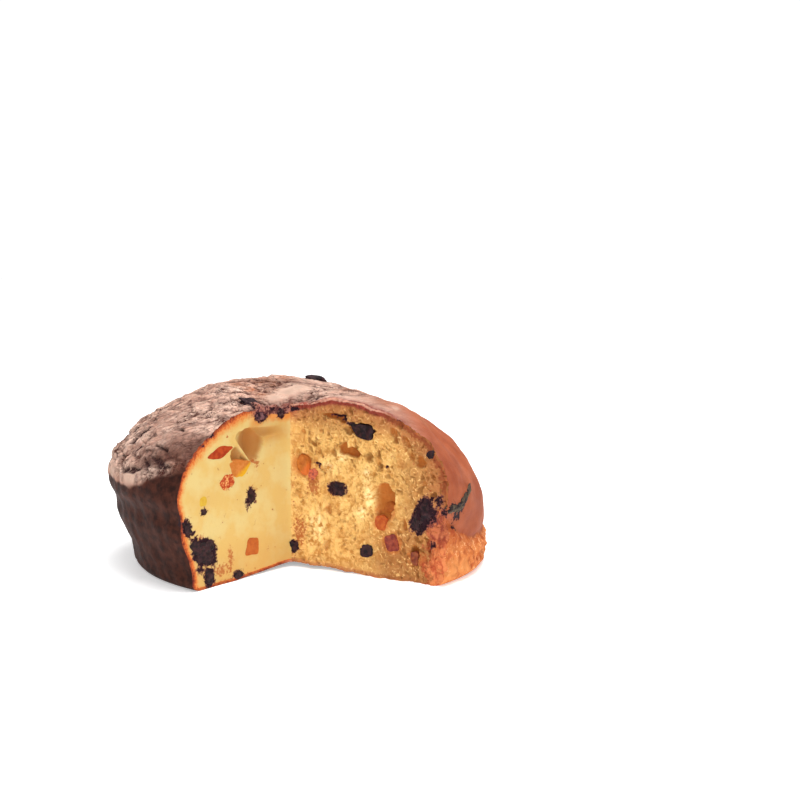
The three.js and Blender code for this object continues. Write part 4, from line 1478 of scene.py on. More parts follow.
class Sum:
    """A colour or number socket of a material, so that shader maths is written as Python."""

    def __init__(self, shader: "Shader", socket: bpy.types.NodeSocket) -> None:
        """Keeps the socket and the shader that new nodes go into."""
        self.shader = shader
        self.socket = socket

    def maths(self, operation: str, first: "Sum | float", second: "Sum | float") -> "Sum":
        """One Math node on two values."""
        node = self.shader.node("ShaderNodeMath", {"operation": operation}, {0: first, 1: second})
        return Sum(self.shader, node.outputs[0])

    def __add__(self, other: "Sum | float") -> "Sum":
        """self + other."""
        return self.maths("ADD", self, other)

    __radd__ = __add__

    def __sub__(self, other: "Sum | float") -> "Sum":
        """self - other."""
        return self.maths("SUBTRACT", self, other)

    def __rsub__(self, other: float) -> "Sum":
        """other - self."""
        return self.maths("SUBTRACT", other, self)

    def __mul__(self, other: "Sum | float") -> "Sum":
        """self * other."""
        return self.maths("MULTIPLY", self, other)

    __rmul__ = __mul__

    def at_least(self, other: "Sum | float") -> "Sum":
        """The larger of the two."""
        return self.maths("MAXIMUM", self, other)

    def at_most(self, other: "Sum | float") -> "Sum":
        """The smaller of the two."""
        return self.maths("MINIMUM", self, other)

    def crest(self, low: float, high: float) -> "Sum":
        """Thin lines where noise passes 0.5: a rise from low to high of 1 less the distance from there."""
        away = self.maths("ABSOLUTE", self * 4 - 2, 0.0)
        return (1 - away).band(low, high)

    def band(self, low: float, high: float) -> "Sum":
        """0 below low, 1 above high, and a smooth rise between them. high may be the lower one."""
        settings = {"interpolation_type": "SMOOTHSTEP", "clamp": True}
        if low <= high:
            links = {"Value": self, "From Min": low, "From Max": high}
        else:
            links = {"Value": self, "From Min": high, "From Max": low, "To Min": 1.0, "To Max": 0.0}
        return Sum(self.shader, self.shader.node("ShaderNodeMapRange", settings, links).outputs[0])


class Shader:
    """A material while its nodes are laid."""

    def __init__(self, name: str) -> None:
        """Starts an empty node material."""
        self.material = bpy.data.materials.new(name)
        self.material.use_nodes = True
        self.tree = self.material.node_tree
        self.tree.nodes.clear()
        coordinates = self.node("ShaderNodeTexCoord", {}, {})
        self.place = Sum(self, coordinates.outputs["Object"])

    def node(self, kind: str, settings: dict, links: dict) -> bpy.types.Node:
        """Adds a node.

        Args:
            kind: the node's type.
            settings: its own settings, which are set first. "stops" are a ramp's places and colours.
            links: for each input, by name or number, a value or the socket that feeds it.

        Returns:
            The node.
        """
        made = self.tree.nodes.new(kind)
        for name, value in settings.items():
            if name == "stops":
                self.set_stops(made.color_ramp, value)
            else:
                setattr(made, name, value)
        for name, value in links.items():
            socket = made.inputs[name]
            if isinstance(value, Sum):
                self.tree.links.new(value.socket, socket)
            elif isinstance(value, tuple) and len(value) == 3 and socket.type == "RGBA":
                socket.default_value = (*value, 1.0)
            else:
                socket.default_value = value
        return made

    @staticmethod
    def set_stops(ramp: bpy.types.ColorRamp, stops: Stops) -> None:
        """Gives a colour ramp its stops."""
        while len(ramp.elements) < len(stops):
            ramp.elements.new(1.0)
        for element, (position, colour) in zip(ramp.elements, stops):
            element.position = position
            element.color = (*colour, 1.0)

    def painted(self, name: str) -> Sum:
        """The number that a piece's corners store under a name."""
        node = self.node("ShaderNodeAttribute", {"attribute_name": name}, {})
        return Sum(self, node.outputs["Fac"])

    def noise(
        self,
        size: float,
        detail: float = 3.0,
        roughness: float = 0.55,
        way: Size = (1.0, 1.0, 1.0),
        place: Sum | None = None,
    ) -> Sum:
        """Noise from 0 to 1.

        Args:
            size: the size of its features in millimetres.
            detail: how many finer layers it has.
            roughness: how strong each finer layer is.
            way: the share of that fineness along X, Y and Z.
            place: where it is read, if not at the object's own coordinates.

        Returns:
            The noise.
        """
        mapped = self.node("ShaderNodeMapping", {}, {"Vector": place or self.place, "Scale": way})
        where = Sum(self, mapped.outputs[0])
        links = {"Vector": where, "Scale": 1 / (size * METRES), "Detail": detail, "Roughness": roughness}
        return Sum(self, self.node("ShaderNodeTexNoise", {}, links).outputs[0])

    def cells(self, size: float, way: Size, place: Sum) -> Sum:
        """The distance to the border of cells, in cells, with a size and a way as for noise."""
        mapped = self.node("ShaderNodeMapping", {}, {"Vector": place, "Scale": way})
        links = {"Vector": Sum(self, mapped.outputs[0]), "Scale": 1 / (size * METRES)}
        node = self.node("ShaderNodeTexVoronoi", {"feature": "DISTANCE_TO_EDGE"}, links)
        return Sum(self, node.outputs["Distance"])

    def bent(self, amount: float, size: float) -> Sum:
        """The object's coordinates, shifted along Y by noise: an amount and a feature size in millimetres."""
        sway = (self.noise(size, 2) - 0.5) * (2 * amount * METRES)
        shift = self.node("ShaderNodeCombineXYZ", {}, {"Y": sway})
        links = {0: self.place, 1: Sum(self, shift.outputs[0])}
        return Sum(self, self.node("ShaderNodeVectorMath", {"operation": "ADD"}, links).outputs[0])

    def mix(self, share: "Sum | float", first: "Sum | Colour", second: "Sum | Colour") -> Sum:
        """A colour between two colours: the first at share 0, the second at 1."""
        settings = {"data_type": "RGBA", "clamp_factor": True}
        node = self.node("ShaderNodeMix", settings, {0: share, 6: first, 7: second})
        return Sum(self, node.outputs[2])

    def ramp(self, value: Sum, stops: Stops) -> Sum:
        """A colour read from a ramp."""
        return Sum(self, self.node("ShaderNodeValToRGB", {"stops": stops}, {0: value}).outputs[0])

    def bump(self, height: Sum, distance: float, strength: float = 1.0) -> Sum:
        """A normal from a height, whose full step is a distance in millimetres."""
        links = {"Height": height, "Distance": distance * METRES, "Strength": strength}
        return Sum(self, self.node("ShaderNodeBump", {}, links).outputs[0])

    def finish(self, surface: dict) -> bpy.types.Material:
        """Closes the material with one Principled surface.

        Args:
            surface: the surface's inputs by name.

        Returns:
            The finished material.
        """
        principled = self.node("ShaderNodeBsdfPrincipled", {}, surface)
        output = self.node("ShaderNodeOutputMaterial", {}, {})
        self.tree.links.new(principled.outputs[0], output.inputs[0])
        return self.material


class CrustShader(Shader):
    """The crust's material, with the noises that several of its colours share."""

    fold_way: Size = (0.2, 1.0, 0.2)

    def __init__(self) -> None:
        """Starts the material and lays the shared noises."""
        super().__init__("baked_crust")
        self.broad, self.mottle, self.grain = self.noise(17, 2), self.noise(4.2, 4), self.noise(0.9, 3)
        self.streaks = self.bent(2.2, 9)
        self.threads = self.noise(1.1, 3, place=self.streaks, way=self.fold_way)


@dataclass(frozen=True)
class CrustFinish:
    """Baked crust: pale and wrinkled on the crown and the left, reddish and smooth on the right."""

    pale_light: Colour = tint(236, 200, 180)
    pale_deep: Colour = tint(202, 154, 134)
    # Painted highlight on the raised folds.
    pale_ridge: Colour = tint(240, 208, 190)
    red_light: Colour = tint(184, 102, 67)
    red_deep: Colour = tint(144, 70, 46)
    # Darker brown on the left: partly bake, partly painted shade.
    brown: Colour = tint(92, 54, 43)
    tan: Colour = tint(174, 106, 72)
    # Glazed crust, paler partly as painted sheen.
    glaze: Colour = tint(186, 156, 138)
    # Painted shade in the low folds, the fine lines and the cracks.
    crease: Colour = tint(78, 42, 36)
    # Painted shade in the gashes.
    dark_crease: Colour = tint(56, 32, 32)
    # The dark side under the rim: dark brown crust, darkened further with painted shadow.
    flank_light: Colour = tint(72, 38, 28)
    flank_deep: Colour = tint(40, 21, 17)
    lip: Colour = tint(150, 74, 62)
    torn_light: Colour = tint(216, 132, 74)
    torn_deep: Colour = tint(194, 102, 54)
    torn_red: Colour = tint(150, 58, 36)
    torn_shine: Colour = tint(255, 206, 150)
    torn_gold: Colour = tint(226, 148, 86)
    # Tops of the crest's lumps: painted highlight.
    crest_light: Colour = tint(164, 106, 92)
    # Between the crest's lumps: painted shade, with the dark purple of chocolate.
    crest_deep: Colour = tint(72, 38, 42)
    chocolate: Colour = tint(44, 27, 32)

    def baked(self, s: CrustShader) -> Sum:
        """The colour of the bake: pale or reddish, with tan places, glazed places partly painted as sheen,
        and brown places partly painted as shade.

        Args:
            s: the material that is being laid.

        Returns:
            The colour.
        """
        patch = s.broad.band(0.36, 0.66) * 0.4 + s.mottle.band(0.32, 0.7) * 0.35
        patch = patch + s.threads.band(0.35, 0.65) * 0.25 + s.painted("ridge") * 0.6
        pale = s.mix(patch, self.pale_deep, self.pale_light)
        red = s.mix(s.broad.band(0.3, 0.7) * 0.6 + s.mottle * 0.4, self.red_deep, self.red_light)
        colour = s.mix(s.painted("pale"), red, pale)
        colour = s.mix(s.painted("tanned") * (s.threads.band(0.38, 0.6) * 0.7 + 0.3), colour, self.tan)
        # Glazed places: a paler colour, partly painted sheen.
        colour = s.mix(s.painted("glazed") * s.mottle.band(0.25, 0.45), colour, self.glaze)
        # Darker brown on the left: partly bake, partly painted shade.
        brown = s.painted("browned") + (s.mottle - 0.5) * 0.5
        return s.mix(brown.band(0.05, 0.85) * 0.88, colour, self.brown)

    def lines(self, s: CrustShader) -> Sum:
        """How strong the fine dark lines along the folds are, fading out on glazed places."""
        fine = s.cells(2.4, (0.22, 1.0, 0.22), s.bent(1.2, 3)).band(0.07, 0.0)
        deep = s.noise(4.4, 3, place=s.streaks, way=s.fold_way).crest(0.9, 0.985)
        plain = s.noise(3.0, 3, place=s.bent(1.2, 4)).crest(0.92, 0.99)
        dashes = s.noise(1.5, 2, place=s.streaks, way=(0.4, 1.0, 0.4)).band(0.6, 0.68)
        most = (fine * 0.6).at_least(deep * 0.85).at_least(plain * 0.5).at_least(dashes * 0.8)
        return most * (1 - s.painted("glazed").band(0.2, 0.6))

    def folded(self, s: CrustShader, colour: Sum, lines: Sum) -> Sum:
        """A colour with painted highlights on its raised folds, and painted shade in the lines, creases and
        cracks between them.

        Args:
            s: the material that is being laid.
            colour: the colour so far.
            lines: how strong the fine lines are.

        Returns:
            The darkened colour.
        """
        pale, wrinkle = s.painted("pale"), s.painted("wrinkle")
        lit = wrinkle.band(0.3, 1.2) * pale * (1 - s.painted("glazed")) * (1 - s.painted("browned"))
        crowded = s.broad.band(0.42, 0.58) * 0.6 + 0.25
        # Painted shade: darker in the fine lines, the low parts of the folds and the cracks.
        low = lines * s.mottle.band(0.35, 0.6) * crowded + wrinkle.band(0.0, -0.7) * 0.38
        low = low + s.painted("crack") * 0.7
        # Painted highlight on the raised folds.
        colour = s.mix(lit * 0.45, colour, self.pale_ridge)
        return s.mix(low * (0.12 + pale * 0.78), colour, self.crease)

    def crumbly(self, s: CrustShader) -> Sum:
        """The colour of the torn foot: golden crumbs with red hollows and painted glints on grains."""
        upright = s.noise(2.6, 4, way=(1, 1, 0.5))
        colour = s.mix(s.mottle.band(0.34, 0.62), self.torn_deep, self.torn_light)
        colour = s.mix(upright.band(0.5, 0.66) * 0.6, colour, self.torn_red)
        # Painted glints on the grains.
        colour = s.mix((upright + s.grain - 1).band(-0.1, -0.22) * 0.6, colour, self.torn_shine)
        colour = s.mix(s.painted("golden") * (upright.band(0.66, 0.5) * 0.5 + 0.5), colour, self.torn_gold)
        return s.mix(s.painted("high_foot") * (s.mottle.band(0.3, 0.6) * 0.5 + 0.2), colour, self.torn_red)

    def edged(self, s: CrustShader, colour: Sum) -> Sum:
        """A colour with painted shade in the gashes, the lumpy crest behind the cut with painted highlights
        and shade on its lumps, and the red roll over it, specked with dust and painted glints.
        """
        # Painted shade in the gashes.
        colour = s.mix(s.painted("gash") * s.threads.band(0.3, 0.5), colour, self.dark_crease)
        # The crest's lumps: painted highlights on their tops and painted shade between them.
        hump = s.painted("crest_lump") + (s.mottle - 0.5) * 0.8
        folds = s.mix(hump.band(0.1, 0.7), self.crest_deep, self.crest_light)
        colour = s.mix(s.painted("crest").band(0.4, 0.9) * 0.8, colour, folds)
        # Pale specks on the red roll: dust and painted glints.
        dust_and_glints = s.mix(s.grain.band(0.5, 0.62) * 0.5, self.lip, self.glaze)
        return s.mix(s.painted("lip") * (s.mottle.band(0.25, 0.5) * 0.5 + 0.5), colour, dust_and_glints)

    def build(self) -> bpy.types.Material:
        """Lays the crust's material.

        Returns:
            The finished material.
        """
        s = CrustShader()
        pale, torn, flank = s.painted("pale"), s.painted("torn"), s.painted("flank")
        lines = self.lines(s)
        # The dark side under the rim, darkened further with painted shadow.
        side = s.mix(s.mottle.band(0.3, 0.7), self.flank_deep, self.flank_light)
        colour = s.mix(flank, self.folded(s, self.baked(s), lines), side)
        colour = self.edged(s, s.mix(torn, colour, self.crumbly(s)))
        melted = (s.painted("smear") + s.noise(1.8, 4) * 1.3 - 0.98).band(0.16, 0.36)
        height = s.grain * 0.25 + (s.threads * 0.6 - lines * 0.9) * (0.12 + pale * 0.88) * (1 - flank)
        return s.finish(
            {
                "Base Color": s.mix(melted, colour, self.chocolate),
                "Roughness": 0.6 + torn * 0.2 - melted * 0.1,
                "Normal": s.bump(height, 0.9, 1.0),
                "Subsurface Weight": 0.04,
                "Subsurface Radius": (1.0, 0.45, 0.25),
                "Subsurface Scale": 0.001,
                "Specular IOR Level": 0.07,
            }
        )


class CrumbShader(Shader):
    """The crumb's material, with the noises and depths that several of its colours share."""

    def __init__(self, deepest: float) -> None:
        """Starts the material: a share of 1 is the deepest depth below the crust, in millimetres."""
        super().__init__("crumb")
        self.broad, self.mottle = self.noise(13, 3), self.noise(4.5, 4)
        self.small, self.grain = self.noise(2.2, 3), self.noise(1.1, 3)
        self.dots = self.noise(1.5, 3)
        self.ragged = self.painted("depth") + (self.mottle - 0.5) * 1.6 + (self.grain - 0.5) * 1.2
        self.share = self.ragged * (1 / deepest)
        self.torn, self.pore = self.painted("torn_face"), self.painted("pore")


@dataclass(frozen=True)
class CrumbFinish:
    """Open crumb: pale yellow in the knife's face and golden in the torn one, turning brown towards the
    crust.

    The stops of each bake are a depth below the crust in millimetres and the colour there.
    """

    knife_light: Colour = tint(211, 187, 123)
    knife_deep: Colour = tint(210, 175, 104)
    knife_low: Colour = tint(196, 148, 80)
    # Painted shade below the roof of the large hole.
    knife_tan: Colour = tint(186, 128, 62)
    torn_light: Colour = tint(246, 202, 124)
    torn_deep: Colour = tint(192, 134, 68)
    torn_pale: Colour = tint(255, 224, 150)
    # Painted highlight on the palest places.
    cream: Colour = tint(252, 228, 172)
    # Darker crumb: partly bake, partly painted shade.
    torn_brown: Colour = tint(164, 106, 60)
    # Painted highlight on the raised strands.
    strand: Colour = tint(246, 206, 134)
    # Painted shade in the pores, and below it in the holes of each face.
    pore: Colour = tint(134, 84, 38)
    hollow: Colour = tint(166, 96, 40)
    deep_hollow: Colour = tint(176, 102, 43)
    syrup: Colour = tint(196, 108, 50)
    stain: Colour = tint(44, 25, 31)
    stain_edge: Colour = tint(106, 58, 58)
    speck: Colour = tint(172, 92, 50)
    lip_red: Colour = tint(140, 62, 50)
    rim_brown: Colour = tint(138, 68, 40)
    # Pale top edge of the roll: dust and a painted highlight.
    lip_dusty: Colour = tint(206, 150, 128)
    crest_light: Colour = tint(160, 104, 90)
    crest_deep: Colour = tint(70, 36, 40)
    crest_glow: Colour = tint(212, 120, 48)
    foot_light: Colour = tint(214, 130, 80)
    foot_deep: Colour = tint(184, 88, 54)
    foot_high_light: Colour = tint(188, 106, 70)
    foot_high_deep: Colour = tint(138, 64, 48)
    foot_border: Colour = tint(148, 62, 36)
    deepest: float = 30.0

    def scaled(self, stops: Stops) -> Stops:
        """Stops at depths as stops from 0 to 1."""
        return [(depth / self.deepest, colour) for depth, colour in stops]

    def knife_bake(self, crumb: Colour) -> Stops:
        """The knife's face from the crust inwards: a thin orange-red line, then a soft glow.

        Args:
            crumb: the colour that the bake ends in.

        Returns:
            The stops, at depths in millimetres.
        """
        return [
            (0.0, tint(96, 40, 32)),
            (1.0, tint(158, 70, 42)),
            (1.9, tint(206, 106, 52)),
            (2.9, tint(212, 144, 76)),
            (4.8, crumb),
        ]

    def torn_bake(self, crumb: Colour) -> Stops:
        """The torn face from the crust inwards: a dark red band, then a brown one that fades slowly.

        Args:
            crumb: the colour that the bake ends in.

        Returns:
            The stops, at depths in millimetres.
        """
        return [
            (0.0, tint(104, 44, 36)),
            (1.6, tint(144, 68, 52)),
            (2.6, tint(178, 104, 70)),
            (5.5, tint(194, 128, 80)),
            (13.0, tint(212, 154, 86)),
            (26.0, crumb),
        ]

    def knife(self, s: CrumbShader) -> Sum:
        """The colour of the knife's face."""
        inside = s.share.band(0.06, 0.2)
        uneven = s.share + (s.mottle + s.grain - 1) * 0.07
        colour = s.ramp(uneven, self.scaled(self.knife_bake(self.knife_deep)))
        colour = s.mix(s.broad.band(0.4, 0.62) * inside, colour, self.knife_light)
        colour = s.mix(s.painted("low") * inside * 0.5, colour, self.knife_low)
        # Painted shade below the roof of the large hole.
        return s.mix(s.painted("tan") * inside * 0.7, colour, self.knife_tan)

    def tear(self, s: CrumbShader) -> Sum:
        """The colour of the torn face, with its darker places of bake and painted shade, its pale and soaked
        places, and painted highlights on its raised strands and palest places.

        Args:
            s: the material that is being laid.

        Returns:
            The colour.
        """
        stops = self.scaled(self.torn_bake(self.torn_deep))
        wandering = s.share + (s.broad - 0.5) * 0.5 + (s.mottle - 0.5) * 0.12
        colour = s.mix(s.share.band(0.02, 0.14), s.ramp(s.share, stops), s.ramp(wandering, stops))
        soft = (s.mottle * 0.6 + s.small * 0.4).band(0.36, 0.62) * 0.75
        colour = s.mix(soft * s.share.band(0.05, 0.7), colour, self.torn_light)
        # Darker along the top, to the right and low down: partly bake, partly painted shade.
        browning = (s.painted("browning") + (s.mottle - 0.5) * 0.5).band(0.05, 0.95)
        colour = s.mix(browning * 0.85, colour, self.torn_brown)
        strands = s.pore.band(0.0, -0.25) * s.share.band(0.03, 0.3) * s.grain.band(0.36, 0.56)
        # Painted highlights on the raised strands.
        colour = s.mix(strands * 0.7, colour, self.strand)
        paleness, fine = s.painted("paleness"), s.small * 0.5 + s.mottle * 0.5
        colour = s.mix(paleness * fine.band(0.38, 0.56) * 0.7, colour, self.torn_pale)
        # Painted highlight on the palest places.
        colour = s.mix(paleness.band(0.45, 0.95) * s.small.band(0.42, 0.58) * 0.6, colour, self.cream)
        return s.mix(s.painted("syrup") * s.mottle.band(0.35, 0.55) * 0.7, colour, self.syrup)

    def hollowed(self, s: CrumbShader, colour: Sum) -> Sum:
        """A colour with painted shade in the pores and holes, and with its orange-brown specks."""
        # Painted shade, deeper in deeper pores and holes.
        colour = s.mix(s.pore.band(0.08, 1.1) * 0.5, colour, self.pore)
        colour = s.mix(s.pore.band(0.9, 2.5) * 0.6, colour, self.pore)
        hollow = s.mix(s.torn, self.hollow, self.deep_hollow)
        colour = s.mix(s.painted("hole").band(0.02, 0.6) * (s.torn * 0.26 + 0.7), colour, hollow)
        edge = s.share.band(0.13, 0.02) * 0.5
        speckled = (edge.at_least(s.painted("specks") * 0.8) + s.dots * 1.4 - 1.15).band(0.05, 0.3)
        return s.mix(speckled * 0.85, colour, self.speck)

    def footed(self, s: CrumbShader, colour: Sum) -> Sum:
        """A colour with the torn foot's at the lower right, and a red border round it.

        Args:
            s: the material that is being laid.
            colour: the colour so far.

        Returns:
            The colour with the foot's.
        """
        foot = (s.painted("foot") + (s.mottle - 0.5) * 1.8 + (s.grain - 0.5) * 0.6).band(0.25, 0.75)
        upright = s.noise(2.6, 4, way=(1, 1, 0.5)).band(0.44, 0.62)
        low_foot = s.mix(upright, self.foot_light, self.foot_deep)
        high_foot = s.mix(upright, self.foot_high_light, self.foot_high_deep)
        high = (s.painted("high_foot") + (s.mottle - 0.5) * 0.8).band(0.1, 0.75)
        colour = s.mix(foot, colour, s.mix(high, low_foot, high_foot))
        border = foot.band(0.02, 0.4) * foot.band(0.98, 0.6) * s.grain.band(0.35, 0.55)
        return s.mix(border * 0.7, colour, self.foot_border)

    def rimmed(self, s: CrumbShader, colour: Sum) -> Sum:
        """A colour with the ragged bake under the crust: brown and red, pale along the roll's top edge with
        dust and a painted highlight, and lumpy at the crest.

        Args:
            s: the material that is being laid.
            colour: the colour so far.

        Returns:
            The colour with the bake's.
        """
        rim, top_rim, crest = s.painted("torn_rim"), s.painted("top_rim"), s.painted("crest")
        uneven = s.ragged + (s.small - 0.5) * 5 * (1.2 - top_rim)
        bake = s.mix(top_rim, self.rim_brown, self.lip_red)
        covered = (top_rim + s.ragged.band(0.7, 1.5)).at_most(1.0) * (top_rim * 0.2 + 0.8)
        colour = s.mix(rim * uneven.band(4.4, 2.6) * covered, colour, bake)
        # Pale top edge of the roll: dust and a painted highlight.
        colour = s.mix(top_rim * s.ragged.band(1.6, 0.8), colour, self.lip_dusty)
        glow = (s.ragged + (s.mottle - 0.5) * 4).band(9.5, 5.5)
        colour = s.mix(crest * glow * 0.75, colour, self.crest_glow)
        folds = s.mix((s.small * 0.6 + s.grain * 0.4).band(0.42, 0.56), self.crest_deep, self.crest_light)
        return s.mix(crest * (s.ragged + (s.small - 0.5) * 3).band(4.6, 3.4), colour, folds)

    def stained(self, s: CrumbShader, colour: Sum) -> Sum:
        """A colour with melted chocolate, and a fringe round it."""
        fringe = s.noise(2.4, 4).band(0.34, 0.62) * 0.5 + s.dots.band(0.4, 0.6) * 0.7 - 0.6
        melted = s.painted("stain") * 2.2 - 0.75 + fringe
        colour = s.mix(melted.band(0.05, 0.5) * 0.85, colour, self.stain_edge)
        return s.mix(melted.band(0.5, 0.85), colour, self.stain)

    def build(self) -> bpy.types.Material:
        """Lays the crumb's material.

        Returns:
            The finished material.
        """
        s = CrumbShader(self.deepest)
        colour = s.mix(s.torn, self.knife(s), self.tear(s))
        for layer in (self.hollowed, self.footed, self.rimmed, self.stained):
            colour = layer(s, colour)
        return s.finish(
            {
                "Base Color": colour,
                "Roughness": 0.8,
                "Normal": s.bump(s.grain * 0.7 + s.small * 0.5, 0.5, 0.3 + s.torn * 0.5),
                "Subsurface Weight": 0.12,
                "Subsurface Radius": (1.0, 0.55, 0.22),
                "Subsurface Scale": 0.001,
                "Specular IOR Level": 0.08,
            }
        )


@dataclass(frozen=True)
class LumpFinish:
    """The finish of a chocolate or fruit lump."""

    name: str
    light: Colour
    deep: Colour
    roughness: float = 0.5
    translucency: float = 0.15
    gloss: float = 0.12
    grain: float = 0.2
    speckle: Colour | None = None
    lower_right: Colour | None = None

    def build(self) -> bpy.types.Material:
        """Lays the lump's material.

        Returns:
            The finished material.
        """
        s = Shader(self.name)
        mottle = s.noise(2.4, 4)
        colour = s.mix(mottle.band(0.36, 0.66), self.deep, self.light)
        if self.lower_right:
            low = (s.painted("lower_right") + (mottle - 0.5) * 0.5).band(0.1, 0.5)
            colour = s.mix(low, colour, self.lower_right)
        if self.speckle:
            colour = s.mix(s.noise(1.2, 3).band(0.5, 0.6) * 0.8, colour, self.speckle)
        return s.finish(
            {
                "Base Color": colour,
                "Roughness": self.roughness + (s.noise(1.2, 3) - 0.5) * 0.3,
                "Normal": s.bump(s.noise(0.8, 3), self.grain, 0.6),
                "Subsurface Weight": self.translucency,
                "Subsurface Radius": (1.0, 0.4, 0.15),
                "Subsurface Scale": 0.003,
                "Specular IOR Level": self.gloss,
            }
        )


PLAIN_CHOCOLATE = LumpFinish("chocolate", tint(58, 32, 36), tint(22, 12, 17), 0.55, 0.0, 0.16, 0.4)

# The finish of each fruit, and of the chocolate that isn't plain, by node.
OWN_FINISHES = {
    "fruit_long_strip": LumpFinish("red_peel", tint(178, 70, 30), tint(154, 50, 23)),
    "fruit_crumbled": LumpFinish(
        "crumbled_peel", tint(196, 92, 46), tint(172, 62, 34), speckle=tint(226, 172, 104)
    ),
    "fruit_in_hollow": LumpFinish(
        "glazed_yellow", tint(202, 126, 62), tint(188, 110, 46), lower_right=tint(212, 160, 34)
    ),
    "fruit_yellow": LumpFinish("lemon_peel", tint(208, 172, 62), tint(202, 160, 52)),
    "fruit_cube": LumpFinish("orange_cube", tint(186, 98, 40), tint(172, 84, 34)),
    "fruit_oval": LumpFinish(
        "amber_fruit", tint(190, 112, 46), tint(166, 90, 34), lower_right=tint(202, 104, 44)
    ),
    "fruit_red": LumpFinish(
        "pink_fruit", tint(208, 116, 82), tint(188, 86, 62), speckle=tint(110, 50, 54)
    ),
    # The fruit in the hole is coloured with the hole's painted shade.
    "fruit_below_hole": LumpFinish(
        "orange_in_hole_shade", tint(176, 102, 44), tint(160, 84, 34), gloss=0.1, grain=0.05
    ),
    "fruit_small_orange": LumpFinish("soft_orange", tint(184, 94, 40), tint(164, 74, 34)),
    "fruit_jelly": LumpFinish("dark_jelly", tint(148, 66, 44), tint(112, 40, 34), gloss=0.2),
    "fruit_brown": LumpFinish("brown_fruit", tint(138, 70, 40), tint(106, 46, 30), gloss=0.2),
    "chocolate_at_crest": LumpFinish(
        "dusty_chocolate", tint(124, 84, 86), tint(44, 26, 36), 0.6, 0.0, 0.1, 0.5
    ),
    "chocolate_at_corner_top": LumpFinish(
        "dusky_chocolate", tint(92, 62, 60), tint(30, 20, 24), 0.6, 0.0, 0.1, 0.5
    ),
    "chocolate_streak": LumpFinish(
        "dried_chocolate", tint(96, 80, 60), tint(34, 24, 28), 0.6, 0.0, 0.15, 0.4
    ),
}


